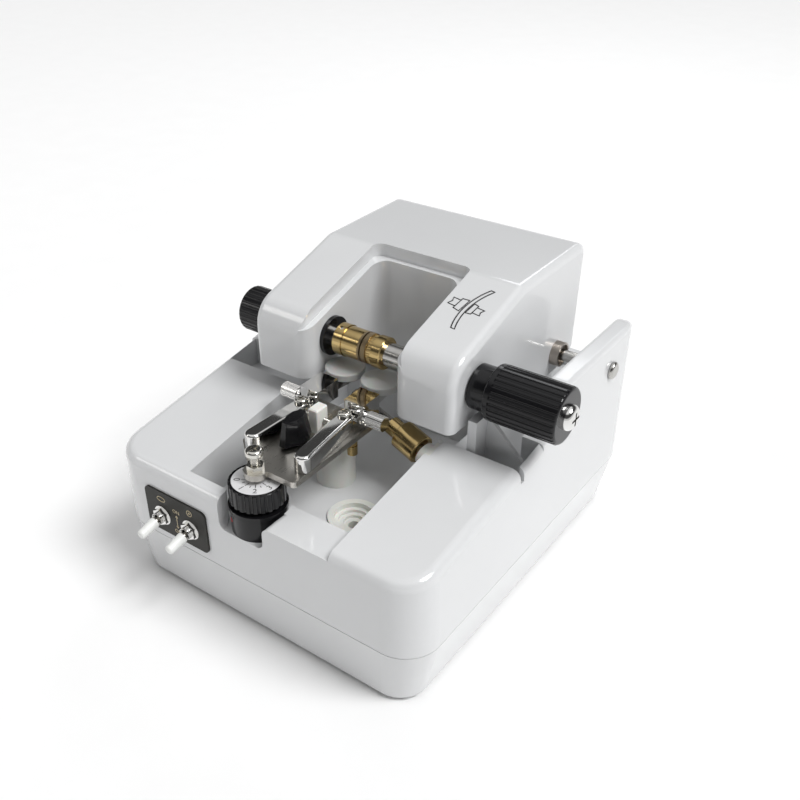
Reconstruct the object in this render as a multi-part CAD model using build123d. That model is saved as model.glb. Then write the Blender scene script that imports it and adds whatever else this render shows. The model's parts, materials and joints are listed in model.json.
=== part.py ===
from build123d import *
import os
from math import cos, pi, radians, sin, sqrt, tan

# A bench lens groover, in millimetres.
# Origin: centre of the tub's flat underside. +X right, +Y rear, +Z up.

# Fits
FIT = 0.05
SEAT = 0.3

# Housing
BASE_WIDTH = 180.0
BASE_DEPTH = 206.5
TUB_HEIGHT = 29.6
TUB_SIDE_INSET = 5.6
TUB_END_INSET = 3.6
CORNER_RADIUS = 18.0
WALL = 3.0
DECK_FRONT_HEIGHT = 70.4
DECK_SLOPE_DEG = 8.3
DECK_FILLET = 5.0
SIDE_LEAN = 2.0
FOOT_DROP = 2.5
FOOT_RADIUS = 8.0
FOOT_INSET = 17.0
POST_RADIUS = 5.0
SCREW_RADIUS = 1.5
SCREW_HEAD_RADIUS = 2.8
SCREW_BITE = 9.0

# Well, saddle, platform and towers
WELL_LEFT = -42.0
WELL_RIGHT = 45.0
WELL_REAR = 24.0
WELL_FLOOR = 50.0
FRONT_RIM = 7.5
SHELF_DEPTH = 17.0
LIP_HEIGHT = 67.0
LIP_DEPTH = 20.0
SADDLE_FRONT = -20.5
PLATFORM_HEIGHT = 70.0
OUTER_RIM = 3.0
REAR_RIM = 7.0
REAR_RIM_HEIGHT = 77.0
TOWER_HEIGHT = 107.0
TOWER_THICKNESS = 10.5
TOWER_FOOT = 0.0
TOWER_BEND_Y = 8.0
TOWER_BEND_LIFT = 1.2
TOWER_SHOULDER_Y = 17.0
TOWER_BEND = 11.0
TOWER_REAR_RADIUS = 12.0
TOWER_FILLET = 2.5
NOTCH_WIDTH = 3.0
NOTCH_DEPTH = 7.0
RIB_LEFT = 59.5
RIB_THICKNESS = 4.5
RIB_DEPTH = 11.5
RIB_TOP = 97.5
GUSSET_REACH = 20.0
GUSSET_THICKNESS = 2.0
GUSSET_TOP = 97.5
GUSSET_TIP = 77.5

# Head
HEAD_HALF_WIDTH = 57.3
HEAD_FRONT = -29.75
HEAD_REAR = 93.5
HEAD_TOP = 143.1
HEAD_KNEE = 29.5
HEAD_SLOPE_DEG = 16.4
HEAD_NOSE_RADIUS = 15.0
HEAD_KNEE_RADIUS = 10.0
HEAD_REAR_RADIUS = 5.0
HEAD_EDGE_FILLET = 4.0
ARM_BOTTOM = 93.3
ARM_BOTTOM_END = 20.0
BODY_BOTTOM = 80.0
BODY_BOTTOM_START = 32.0
BODY_CHAMFER = 10.0
GAP_HALF_WIDTH = 24.5
GAP_REAR = 30.0
GAP_CORNER = 8.0
LEDGE_WIDTH = 3.3
LEDGE_DROP = 6.5
LEDGE_CORNER = 5.0
COVER_THICKNESS = 1.8
COVER_MARGIN = 2.0
COVER_LEDGE = 2.5

# Head hinge
PIVOT_Y = 70.25
PIVOT_Z = 91.0
PIVOT_RADIUS = 3.0
PIVOT_BUSH_RADIUS = 6.4
PIVOT_BUSH_LENGTH = 12.0
PIVOT_BUSH_PROUD = 4.5
PIVOT_CUP_DEPTH = 1.5
PIVOT_CUP_WALL = 1.1
PIVOT_SCREW_HEAD = 4.5
PIVOT_SCREW_HEIGHT = 2.0

# Lens spindles
LENS_PLANE = -2.5
SPINDLE_Y = -9.75
SPINDLE_Z = 110.6
SPINDLE_RADIUS = 5.8
PAD_GAP = 0.8
CLAMP_RADIUS = 7.6
CLAMP_RING_RADIUS = 8.0
CLAMP_END_WALL = 1.0
LEFT_PAD_LENGTH = 1.2
LEFT_CLAMP_MAIN = 9.5
LEFT_CLAMP_RING = 5.3
RIGHT_PAD_LENGTH = 2.6
RIGHT_WAIST_LENGTH = 3.4
RIGHT_WAIST_RADIUS = 7.1
RIGHT_RING_LENGTH = 5.1
KNURL_CUTS = 36
SETSCREW_RADIUS = 1.1
SETSCREW_ANGLE = 110.0
BUSH_WALL = 3.0
BUSH_LENGTH = 10.0
SEAL_RADIUS = 9.8
SEAL_THICKNESS = 2.2
KNOB_STANDOFF = 1.0
KNOB_CAP = 2.0
LEFT_KNOB_RADIUS = 11.6
LEFT_KNOB_LENGTH = 17.7
RIGHT_COLLAR_RADIUS = 10.6
RIGHT_COLLAR_LENGTH = 8.7
RIGHT_KNOB_RADIUS = 13.2
RIGHT_KNOB_LENGTH = 35.0
KNOB_SCREW_RADIUS = 6.0
KNOB_SCREW_HEIGHT = 3.6
KNOB_FLUTES = 30
FLUTE_DEPTH = 0.55
FLUTE_START = 3.0

# Lens drive in the head
PULLEY_RADIUS = 9.5
PULLEY_WIDTH = 7.0
PULLEY_CENTRE = 41.0
PULLEY_FLANGE = 1.0
BELT_THICKNESS = 1.4
CROSS_Y = 62.0
CROSS_Z = 118.0
CROSS_RADIUS = 3.0
CROSS_BOSS_RADIUS = 6.5
CROSS_BOSS_LENGTH = 5.0
LENS_MOTOR_RADIUS = 16.0
LENS_MOTOR_LENGTH = 42.0
LENS_MOTOR_NOSE = 4.0
LENS_MOTOR_MOUNT = 22.0

# Depth dial
DIAL_X = -5.0
DIAL_Y = -90.0
DIAL_RADIUS = 13.0
DIAL_TOP = 79.6
DIAL_SKIRT = 9.6
DIAL_BOSS_RADIUS = 10.0
DIAL_FLUTES = 24
DIAL_STEM_RADIUS = 5.0
DIAL_STEM_LENGTH = 10.0
DIAL_FACE_RADIUS = 11.4
DIAL_FACE_THICKNESS = 1.0
DIAL_HOUSING_RADIUS = 13.2
DIAL_HOUSING_BOTTOM = 54.0
DIAL_HOUSING_TOP = 68.0
DIAL_FLANGE_RADIUS = 13.7
DIAL_FLANGE = 2.2
PLUNGER_RADIUS = 2.0
PLUNGER_PROUD = 0.8
POCKET_GAP = 1.8
DOT_RADIUS = 1.2
DOT_DEPTH = 1.0
DOT_Z = 61.0
DOT_ANGLE = 240.0
NOTCH_CORNER = 4.0

# Switches
PANEL_X = -46.5
PANEL_Z = 46.3
PANEL_WIDTH = 40.0
PANEL_HEIGHT = 24.0
PANEL_THICKNESS = 1.0
PANEL_CORNER = 3.0
SWITCH_LEFT_X = -55.5
SWITCH_RIGHT_X = -36.8
SWITCH_Z = 44.8
SWITCH_BODY_WIDTH = 8.0
SWITCH_BODY_HEIGHT = 13.0
SWITCH_BODY_DEPTH = 10.0
SWITCH_BUSH_RADIUS = 3.0
SWITCH_BUSH_PROUD = 4.6
SWITCH_BORE_RADIUS = 2.2
WASHER_RADIUS = 5.2
WASHER_THICKNESS = 0.6
NUT_FLATS = 8.0
NUT_THICKNESS = 2.0
LEVER_RADIUS = 1.1
LEVER_BALL_RADIUS = 1.8
LEVER_LENGTH = 14.0
LEVER_REST_DEG = 12.0
LEVER_PIVOT_DEPTH = 1.8
SLEEVE_LENGTH = 10.0
SLEEVE_RADIUS = 2.7
SLEEVE_TIP_RADIUS = 2.3
SLEEVE_CAP = 1.5

# Guide mechanism
PILLAR_X = -2.5
PILLAR_Y = -37.0
PILLAR_RADIUS = 9.7
PLATE_BOTTOM = 82.0
PLATE_THICKNESS = 3.0
PLATE_LEFT = -25.5
PLATE_RIGHT = 15.5
PLATE_FRONT = -88.25
PLATE_LEFT_FRONT = -76.0
PLATE_REAR = -28.0
PLATE_CORNER = 2.0
TONGUE_RADIUS = 5.4
FORK_HALF_WIDTH = 10.0
FORK_DEPTH = 12.0
FORK_THICKNESS = 2.0
FORK_PIN_RADIUS = 1.5
FORK_PIN_Z = 78.8
FORK_PIN_PROUD = 0.8
FORK_LUG_RADIUS = 2.6
DEPTH_SCREW_RADIUS = 2.0
DEPTH_SCREW_HEAD = 4.2
DEPTH_SCREW_TOP = 93.5
DEPTH_NUT_FLATS = 7.0
DEPTH_NUT_HEIGHT = 3.0
STUD_RADIUS = 2.5
STUD_LENGTH = 8.0
STUD_GROOVE = 0.8
RIGHT_STUD_X = 12.5
RIGHT_STUD_Y = -43.0
LEFT_STUD_X = -7.0
LEFT_STUD_Y = -58.0
ARM_WIDTH = 8.0
ARM_HEIGHT = 8.2
ARM_EDGE = 1.4
LEFT_HANDLE_X = -17.0
RIGHT_HANDLE_X = 12.0
HANDLE_TIP_Y = -77.5
LEFT_PIVOT_X = -15.5
LEFT_PIVOT_Y = -45.5
RIGHT_PIVOT_X = 8.0
RIGHT_PIVOT_Y = -42.8
ARM_SCREW_RADIUS = 1.5
ARM_SCREW_HEAD = 3.2
TAIL_WIDTH = 7.0
TAIL_BOTTOM = 88.3
TAIL_THICKNESS = 2.5
TAIL_REAR = -25.0
BLOCK_HALF_WIDTH = 5.5
BLOCK_TOP = 98.0
LEFT_BLOCK_X = -14.8
RIGHT_BLOCK_X = 9.6
LEFT_BLOCK_FRONT = -40.5
RIGHT_BLOCK_FRONT = -38.3
LUG_WIDTH = 7.0
ROLLER_RADIUS = 10.0
ROLLER_THICKNESS = 3.8
ROLLER_BOTTOM = 95.2
LEFT_ROLLER_X = -13.3
RIGHT_ROLLER_X = 8.3
ROLLER_Y = -14.0
ROLLER_PIN_RADIUS = 1.5
ROLLER_CAP = 0.3
ADJUSTER_RADIUS = 3.7
ADJUSTER_LENGTH = 10.8
ADJUSTER_COLLAR = 1.8
ADJUSTER_COLLAR_RADIUS = 3.0
ADJUSTER_SHANK_RADIUS = 1.2
ADJUSTER_BITE = 1.3
ADJUSTER_SETBACK = 2.0
ADJUSTER_Z = 91.6
ADJUSTER_FLUTES = 20
SELECTOR_X = -4.5
SELECTOR_Y = -63.5
SELECTOR_HALF_WIDTH = 5.2
SELECTOR_HALF_LENGTH = 9.0
SELECTOR_HEIGHT = 13.5
SELECTOR_TAPER = 2.2
SELECTOR_BOSS_RADIUS = 4.0
SELECTOR_BOSS_HEIGHT = 1.5
SELECTOR_PIN_RADIUS = 1.5
WEDGE_X = -2.5
WEDGE_Y = -49.0
WEDGE_WIDTH = 5.5
WEDGE_DEPTH = 8.0
WEDGE_HEIGHT = 12.5

# Grooving wheel
WHEEL_Y = -16.4
WHEEL_Z = 85.6
WHEEL_RADIUS = 7.5
WHEEL_THICKNESS = 1.4
WHEEL_HUB_RADIUS = 4.2
WHEEL_HUB_LENGTH = 4.0
WHEEL_SHAFT_RADIUS = 2.75
WHEEL_TURN = 0.2
WHEEL_DIP = 0.232
CHUCK_START = 23.0
CHUCK_NECK = 7.0
CHUCK_BODY = 13.5
CHUCK_NECK_RADIUS = 4.6
CHUCK_RADIUS = 7.2
BEARING_RADIUS = 5.6
BEARING_PROUD = 4.5
WHEEL_PULLEY_START = 85.5
WHEEL_PULLEY_WIDTH = 4.0
WHEEL_PULLEY_RADIUS = 6.0
WHEEL_PULLEY_FLANGE = 0.8
WHEEL_MOTOR_DROP = 26.0
WHEEL_MOTOR_RADIUS = 12.0
WHEEL_MOTOR_START = 64.0
WHEEL_MOTOR_LENGTH = 20.0
MOTOR_SHAFT_RADIUS = 3.0
MOTOR_SHAFT_BITE = 7.5
CRADLE_WIDTH = 12.0

# Drain, supply and sockets
DRAIN_X = 23.5
DRAIN_Y = -57.0
DRAIN_RADIUS = 12.5
DRAIN_FLANGE = 1.0
DRAIN_LEDGE = 2.0
DRAIN_DEPTH = 6.0
DRAIN_SPOUT_RADIUS = 4.0
DRAIN_SPOUT_WALL = 1.2
DRAIN_SPOUT_LENGTH = 8.0
SUPPLY_X = -52.0
SUPPLY_Y = 55.0
CORE_LENGTH = 50.0
CORE_DEPTH = 20.0
CORE_HEIGHT = 42.0
COIL_DEPTH = 36.0
BOARD_X = 20.0
BOARD_Y = 55.0
BOARD_LENGTH = 70.0
BOARD_DEPTH = 50.0
BOARD_THICKNESS = 1.6
BOARD_LIFT = 6.0
BOARD_POST_INSET = 4.0
INLET_X = 45.0
FUSE_X = 8.0
SOCKET_Z = 47.0
INLET_WIDTH = 30.0
INLET_HEIGHT = 22.0
INLET_HOLLOW_WIDTH = 22.4
INLET_HOLLOW_HEIGHT = 15.4
INLET_DEPTH = 16.0
INLET_FLANGE = 2.0
INLET_BORDER = 2.0
PIN_RECESS = 5.0
FUSE_RADIUS = 6.0
FUSE_CAP_RADIUS = 7.5
FUSE_DEPTH = 22.0
FUSE_CAP_HEIGHT = 4.0

# Values that follow from the ones above
HALF_W = BASE_WIDTH / 2
HALF_D = BASE_DEPTH / 2
SLOPE = tan(radians(DECK_SLOPE_DEG))
SHELL_BOTTOM = TUB_HEIGHT + SEAT
ABOVE = TOWER_HEIGHT + 1
TOWER_OUTER = HALF_W - SIDE_LEAN
TOWER_INNER = TOWER_OUTER - TOWER_THICKNESS
PLATE_TOP = PLATE_BOTTOM + PLATE_THICKNESS
ARM_FLOOR = PLATE_TOP + SEAT
ARM_TOP = ARM_FLOOR + ARM_HEIGHT
TAIL_TOP = TAIL_BOTTOM + TAIL_THICKNESS
LEFT_FACE = LENS_PLANE - PAD_GAP / 2 - LEFT_PAD_LENGTH
RIGHT_FACE = LENS_PLANE + PAD_GAP / 2 + RIGHT_PAD_LENGTH
LEFT_RING_END = LEFT_FACE - LEFT_CLAMP_MAIN
LEFT_CLAMP_END = LEFT_RING_END - LEFT_CLAMP_RING
RIGHT_CLAMP_END = RIGHT_FACE + RIGHT_WAIST_LENGTH + RIGHT_RING_LENGTH
BUSH_RADIUS = SPINDLE_RADIUS + FIT + BUSH_WALL
KNOB_START = HEAD_HALF_WIDTH + KNOB_STANDOFF
UPPER_GAP = GAP_HALF_WIDTH + LEDGE_WIDTH
INNER_WALL = UPPER_GAP + WALL
POCKET_RADIUS = DIAL_HOUSING_RADIUS + POCKET_GAP
NOTCH_RIGHT = DIAL_X + DIAL_HOUSING_RADIUS
PANEL_FACE = -HALF_D - PANEL_THICKNESS
LEVER_PIVOT_Y = PANEL_FACE - LEVER_PIVOT_DEPTH
FORK_SEAT = FORK_PIN_Z - FORK_LUG_RADIUS - FORK_THICKNESS - SEAT
WHEEL_AXIS = Vector(1, -WHEEL_TURN, -WHEEL_DIP).normalized()
WHEEL_CENTRE = Vector(LENS_PLANE, WHEEL_Y, WHEEL_Z)
MOTOR_DIRECTION = (WHEEL_AXIS * WHEEL_AXIS.Z - Vector(0, 0, 1)).normalized()
MOTOR_CENTRE = WHEEL_CENTRE + MOTOR_DIRECTION * WHEEL_MOTOR_DROP
MOTOR_END = WHEEL_MOTOR_START + WHEEL_MOTOR_LENGTH
PULLEY_END = WHEEL_PULLEY_START + WHEEL_PULLEY_WIDTH
WALL_DISTANCE = (WELL_RIGHT - LENS_PLANE) / WHEEL_AXIS.X


def deck_height(y):
    """Height of the sloped deck at depth y."""
    return DECK_FRONT_HEIGHT + SLOPE * (y + HALF_D)


def box(x0, x1, y0, y1, z0, z1):
    """A box given by its limits."""
    return Pos((x0 + x1) / 2, (y0 + y1) / 2, (z0 + z1) / 2) * Box(x1 - x0, y1 - y0, z1 - z0)


def sided(side, near, far):
    """Low and high X of a span mirrored to one side."""
    return sorted((side * near, side * far))


def rod(start, direction, radius, t0, t1, inner=0.0, top=None):
    """A round bar, tube or cone along a direction, from t0 to t1 past a point."""
    axis = Vector(*direction).normalized()
    low = (Align.CENTER, Align.CENTER, Align.MIN)
    form = Cylinder(radius, t1 - t0, align=low) if top is None else Cone(radius, top, t1 - t0, align=low)
    bar = Plane(origin=Vector(*start) + axis * t0, z_dir=axis) * form
    if inner > 0:
        bore = Plane(origin=Vector(*start) + axis * (t0 - 1), z_dir=axis)
        bar -= bore * Cylinder(inner, t1 - t0 + 2, align=low)
    return bar


def upright(x, y, radius, z0, z1, inner=0.0):
    """A vertical bar or tube."""
    return rod((x, y, 0), (0, 0, 1), radius, z0, z1, inner)


def along_x(y, z, radius, x0, x1, inner=0.0):
    """A bar or tube parallel to X."""
    return rod((0, y, z), (1, 0, 0), radius, x0, x1, inner)


def along_y(x, z, radius, y0, y1, inner=0.0):
    """A bar or tube parallel to Y."""
    return rod((x, 0, z), (0, 1, 0), radius, y0, y1, inner)


def rounded_slab(half_x, half_y, radius, z):
    """A rounded rectangle at height z."""
    return Plane.XY.offset(z) * RectangleRounded(half_x * 2, half_y * 2, radius)


def rounded_face(points, rounds=()):
    """A closed outline with some of its corners rounded."""
    face = make_face(Polyline(*points, close=True))
    for corner, radius in rounds:
        vertex = face.vertices().sort_by_distance(Vector(corner[0], corner[1], 0))[0]
        face = fillet([vertex], radius)
    return face


def side_extrusion(points, x0, x1, rounds=()):
    """An outline in Y and Z, extruded from x0 to x1."""
    return extrude(Plane.YZ.offset(x0) * rounded_face(points, rounds), amount=x1 - x0, dir=(1, 0, 0))


def front_extrusion(points, y0, y1, rounds=()):
    """An outline in X and Z, extruded from y0 back to y1."""
    return extrude(Plane.XZ.offset(-y0) * rounded_face(points, rounds), amount=y1 - y0, dir=(0, 1, 0))


def plan_extrusion(points, z0, z1, rounds=()):
    """An outline in X and Y, extruded from z0 to z1."""
    return extrude(Plane.XY.offset(z0) * rounded_face(points, rounds), amount=z1 - z0, dir=(0, 0, 1))


def bar_between(x0, y0, x1, y1, width, z0, z1):
    """A flat bar with rounded ends between two points in plan."""
    run = Vector(x1 - x0, y1 - y0, 0).normalized()
    side = Vector(-run.Y, run.X, 0) * (width / 2)
    start, end = Vector(x0, y0, 0), Vector(x1, y1, 0)
    corners = [start + side, end + side, end - side, start - side]
    web = plan_extrusion([(c.X, c.Y) for c in corners], z0, z1)
    return web + upright(x0, y0, width / 2, z0, z1) + upright(x1, y1, width / 2, z0, z1)


def fluted(bar, start, direction, radius, t0, t1, count, depth):
    """Cut shallow round flutes along a knob."""
    axis = Vector(*direction).normalized()
    plane = Plane(origin=Vector(*start) + axis * t0, z_dir=axis)
    flute = pi * radius / count * 0.62
    cutter = Cylinder(flute, t1 - t0, align=(Align.CENTER, Align.CENTER, Align.MIN))
    places = PolarLocations(radius + flute - depth, count)
    return bar - [plane * (place * cutter) for place in places]


def hexagon(start, direction, flats, t0, t1, inner):
    """A hexagonal nut along a direction."""
    axis = Vector(*direction).normalized()
    plane = Plane(origin=Vector(*start) + axis * t0, z_dir=axis)
    nut = extrude(plane * RegularPolygon(flats / sqrt(3), 6), amount=t1 - t0)
    return nut - rod(start, direction, inner, t0 - 1, t1 + 1)


def pan_screw(x, y, z, head, radius, length):
    """A cross-slotted pan-head screw, its head seated at height z."""
    height = head * 0.62
    cap = upright(x, y, head, z, z + height)
    cap = fillet(cap.edges().group_by(Axis.Z)[-1], height * 0.6)
    slot = head * 0.12
    reach = head * 0.62
    cap -= box(x - reach, x + reach, y - slot, y + slot, z + height * 0.5, z + height + 1)
    cap -= box(x - slot, x + slot, y - reach, y + reach, z + height * 0.5, z + height + 1)
    return cap + upright(x, y, radius, z - length, z + height * 0.3)


def belt_loop(centre, run, direction, radius, width):
    """A flat belt round two equal pulleys, the second one a run away."""
    axis = Vector(*direction).normalized()
    plane = Plane(origin=centre - axis * (width / 2), x_dir=run.normalized(), z_dir=axis)
    middle = Pos(run.length / 2, 0)
    outer = middle * SlotCenterToCenter(run.length, 2 * (radius + FIT + BELT_THICKNESS))
    inner = middle * SlotCenterToCenter(run.length, 2 * (radius + FIT))
    return extrude(plane * (outer - inner), amount=width)


def wheel_point(t):
    """Point on the grooving wheel's shaft, t past the wheel's centre."""
    return WHEEL_CENTRE + WHEEL_AXIS * t


# Lower housing

def foot_places():
    """Centres of the four feet."""
    dx = HALF_W - TUB_SIDE_INSET - FOOT_INSET
    dy = HALF_D - TUB_END_INSET - FOOT_INSET
    return [(sx * dx, sy * dy) for sx in (-1, 1) for sy in (-1, 1)]


def board_corners():
    """Centres of the four posts that carry the control board."""
    dx = BOARD_LENGTH / 2 - BOARD_POST_INSET
    dy = BOARD_DEPTH / 2 - BOARD_POST_INSET
    return [(BOARD_X + sx * dx, BOARD_Y + sy * dy) for sx in (-1, 1) for sy in (-1, 1)]


def make_base_tub():
    """Lower housing: an open tray with a flared wall, screw bosses and mounts."""
    low_x, low_y = HALF_W - TUB_SIDE_INSET, HALF_D - TUB_END_INSET
    corner = CORNER_RADIUS - TUB_END_INSET
    outside = loft([rounded_slab(low_x, low_y, corner, 0),
                    rounded_slab(HALF_W, HALF_D, CORNER_RADIUS, TUB_HEIGHT)])
    inside = loft([rounded_slab(low_x - WALL, low_y - WALL, corner - WALL, WALL),
                   rounded_slab(HALF_W - WALL, HALF_D - WALL, CORNER_RADIUS - WALL, TUB_HEIGHT + 0.01)])
    tub = outside - inside
    for x, y in foot_places():
        tub += upright(x, y, POST_RADIUS, WALL / 2, TUB_HEIGHT)
        tub -= upright(x, y, SCREW_RADIUS + FIT, -1, TUB_HEIGHT + 1)
    for x, y in board_corners():
        tub += upright(x, y, SCREW_RADIUS * 2, WALL / 2, WALL + BOARD_LIFT)
    middle = MOTOR_CENTRE + WHEEL_AXIS * (WHEEL_MOTOR_START + WHEEL_MOTOR_LENGTH / 2)
    half = CRADLE_WIDTH / 2
    cradle = box(middle.X - half, middle.X + half, middle.Y - half, middle.Y + half, WALL / 2, middle.Z)
    cradle -= rod(MOTOR_CENTRE, WHEEL_AXIS, WHEEL_MOTOR_RADIUS + FIT, 0, MOTOR_END + CRADLE_WIDTH)
    return tub + cradle


def make_rubber_feet():
    """Four round feet with a recess for the screw's head."""
    feet = []
    for x, y in foot_places():
        foot = upright(x, y, FOOT_RADIUS, -FOOT_DROP, 0)
        foot = fillet(foot.edges().group_by(Axis.Z)[0], 0.8)
        foot -= upright(x, y, SCREW_HEAD_RADIUS + SEAT, -FOOT_DROP - 1, -FOOT_DROP / 2)
        foot -= upright(x, y, SCREW_RADIUS + FIT, -FOOT_DROP, 1)
        feet.append(foot)
    return feet


def make_housing_screws():
    """Four long screws up through the feet into the top shell's posts."""
    screws = []
    for x, y in foot_places():
        head = upright(x, y, SCREW_HEAD_RADIUS, -FOOT_DROP + SEAT, -FOOT_DROP / 2)
        screws.append(head + upright(x, y, SCREW_RADIUS, -FOOT_DROP / 2, SHELL_BOTTOM + SCREW_BITE - 1))
    return screws


# Upper housing

def shell_blank(inset):
    """The top shell's outer form before its deck is cut, inset by a wall."""
    corner = CORNER_RADIUS - inset
    low = rounded_slab(HALF_W - inset, HALF_D - inset, corner, SHELL_BOTTOM)
    high = rounded_slab(TOWER_OUTER - inset, HALF_D - inset, corner - SIDE_LEAN, ABOVE)
    return loft([low, high])


def under_deck(drop):
    """Everything below the sloped deck, or below a surface dropped from it."""
    y = HALF_D + 1
    points = [(-y, SHELL_BOTTOM - 1), (y, SHELL_BOTTOM - 1),
              (y, deck_height(y) - drop), (-y, deck_height(-y) - drop)]
    return side_extrusion(points, -HALF_W - 1, HALF_W + 1)


def tower(side):
    """One side tower, rising behind the saddle."""
    base = deck_height(TOWER_FOOT)
    bend = (TOWER_BEND_Y, base + TOWER_BEND_LIFT)
    shoulder = (TOWER_SHOULDER_Y, TOWER_HEIGHT)
    rear = (HALF_D, TOWER_HEIGHT)
    points = [(TOWER_FOOT, SHELL_BOTTOM + WALL), (TOWER_FOOT, base), bend, shoulder, rear,
              (HALF_D, SHELL_BOTTOM + WALL)]
    rounds = [(bend, TOWER_BEND), (shoulder, TOWER_BEND), (rear, TOWER_REAR_RADIUS)]
    low, high = sided(side, TOWER_INNER, HALF_W + 1)
    post = shell_blank(0) & side_extrusion(points, low, high, rounds)
    crest = [e for e in post.edges() if e.center().Z > TOWER_HEIGHT - 0.5 and e.length > TOWER_THICKNESS * 2]
    return fillet(crest, TOWER_FILLET)


def tower_hollow(side):
    """The hollow inside a tower, open below."""
    low, high = sided(side, TOWER_INNER + WALL, TOWER_OUTER - WALL)
    front = TOWER_SHOULDER_Y + TOWER_BEND
    return box(low, high, front, HALF_D - CORNER_RADIUS, PLATFORM_HEIGHT - WALL - 1, TOWER_HEIGHT - WALL)


def well_void():
    """The open well, with its front lip, its shelf and the round dial pocket."""
    front = -HALF_D
    void = box(WELL_LEFT, WELL_RIGHT, front + LIP_DEPTH, WELL_REAR, WELL_FLOOR, ABOVE)
    void += box(WELL_LEFT, NOTCH_RIGHT, front + SHELF_DEPTH, front + LIP_DEPTH + 1, WELL_FLOOR, ABOVE)
    void += box(WELL_LEFT, NOTCH_RIGHT, front + FRONT_RIM, front + SHELF_DEPTH + 1, DIAL_HOUSING_BOTTOM, ABOVE)
    void += box(NOTCH_RIGHT, WELL_RIGHT, front - 1, front + LIP_DEPTH + 1, LIP_HEIGHT, ABOVE)
    plinth = box(DIAL_X - POCKET_RADIUS, DIAL_X + POCKET_RADIUS, front, DIAL_Y + POCKET_RADIUS,
                 WELL_FLOOR - 1, DIAL_HOUSING_BOTTOM)
    pocket = upright(DIAL_X, DIAL_Y, POCKET_RADIUS, DIAL_HOUSING_BOTTOM, ABOVE)
    pocket -= box(-HALF_W, HALF_W, front - 5, front + WALL, 0, ABOVE)
    return void - plinth + pocket + dial_notch()


def dial_notch():
    """The rounded notch in the front wall that shows the dial's housing."""
    left, right = DIAL_X - DIAL_HOUSING_RADIUS, NOTCH_RIGHT
    points = [(left, ABOVE), (left, DIAL_HOUSING_BOTTOM), (right, DIAL_HOUSING_BOTTOM),
              (right, LIP_HEIGHT), (right + WALL * 2, LIP_HEIGHT), (right + WALL * 2, ABOVE)]
    rounds = [(point, NOTCH_CORNER) for point in points[1:4]]
    return front_extrusion(points, -HALF_D - 1, DIAL_Y, rounds)


def platform_void():
    """The space above the platform under the head, its saddles and the low rear rim."""
    void = box(-TOWER_INNER, TOWER_INNER, SADDLE_FRONT, HALF_D - REAR_RIM, PLATFORM_HEIGHT, ABOVE)
    void += box(-TOWER_INNER, TOWER_INNER, HALF_D - REAR_RIM - 1, HALF_D + 1, REAR_RIM_HEIGHT, ABOVE)
    wide = HALF_W - OUTER_RIM - SIDE_LEAN / 2
    for side in (-1, 1):
        low, high = sided(side, TOWER_INNER - 1, wide)
        void += box(low, high, SADDLE_FRONT, TOWER_FOOT, PLATFORM_HEIGHT, ABOVE)
    notch_floor = deck_height(SADDLE_FRONT) - NOTCH_DEPTH
    return void + box(wide - 1, HALF_W + 1, SADDLE_FRONT, SADDLE_FRONT + NOTCH_WIDTH, notch_floor, ABOVE)


def front_hollows():
    """Hollows under the front lip and behind the right-hand switch."""
    inner = -HALF_D + WALL
    lip = box(NOTCH_RIGHT + 2 * WALL, WELL_RIGHT + WALL + 1, inner, -HALF_D + LIP_DEPTH - WALL,
              WELL_FLOOR - WALL - 1, LIP_HEIGHT - WALL)
    half = SWITCH_BODY_WIDTH
    pocket = box(SWITCH_RIGHT_X - half, SWITCH_RIGHT_X + half, inner, inner + SWITCH_BODY_DEPTH + SEAT,
                 WELL_FLOOR - WALL - 1, SWITCH_Z + SWITCH_BODY_HEIGHT / 2 + SEAT)
    return lip + pocket


def cradle_rib():
    """Rib beside the right arm, under the knob's collar, and its gusset."""
    right = RIB_LEFT + RIB_THICKNESS
    front = SADDLE_FRONT + NOTCH_WIDTH / 2
    floor = PLATFORM_HEIGHT - WALL / 2
    rib = box(RIB_LEFT, right, front, front + RIB_DEPTH, floor, RIB_TOP)
    web = [(right - 0.5, floor), (right - 0.5, GUSSET_TOP), (right + GUSSET_REACH, GUSSET_TIP),
           (right + GUSSET_REACH, floor)]
    return rib + front_extrusion(web, front + RIB_DEPTH - GUSSET_THICKNESS, front + RIB_DEPTH)


def bearing_slot():
    """The slot in the well's wall that holds the wheel bearing."""
    radius = BEARING_RADIUS + FIT
    centre = wheel_point(WALL_DISTANCE + WALL / 2)
    barrel = rod(WHEEL_CENTRE, WHEEL_AXIS, radius, WALL_DISTANCE - BEARING_PROUD - 2,
                 WALL_DISTANCE + WALL + BEARING_PROUD + 2)
    return barrel + box(WELL_RIGHT - 1, WELL_RIGHT + WALL, centre.Y - radius, centre.Y + radius,
                        centre.Z, ABOVE)


def wall_holes():
    """Holes for the drain, the switches, the sockets and the hinge shaft."""
    rear = HALF_D - WALL - 1
    holes = upright(DRAIN_X, DRAIN_Y, DRAIN_RADIUS - DRAIN_LEDGE + FIT, WELL_FLOOR - WALL - 1, WELL_FLOOR + 1)
    for x in (SWITCH_LEFT_X, SWITCH_RIGHT_X):
        holes += along_y(x, SWITCH_Z, SWITCH_BUSH_RADIUS + FIT, -HALF_D - 1, -HALF_D + WALL + 1)
    half_x, half_z = INLET_WIDTH / 2 - INLET_BORDER, INLET_HEIGHT / 2 - INLET_BORDER
    holes += box(INLET_X - half_x, INLET_X + half_x, rear, HALF_D + 1, SOCKET_Z - half_z, SOCKET_Z + half_z)
    holes += along_y(FUSE_X, SOCKET_Z, FUSE_RADIUS + FIT, rear, HALF_D + 1)
    return holes + along_x(PIVOT_Y, PIVOT_Z, PIVOT_RADIUS + FIT, -HALF_W, HALF_W)


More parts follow.
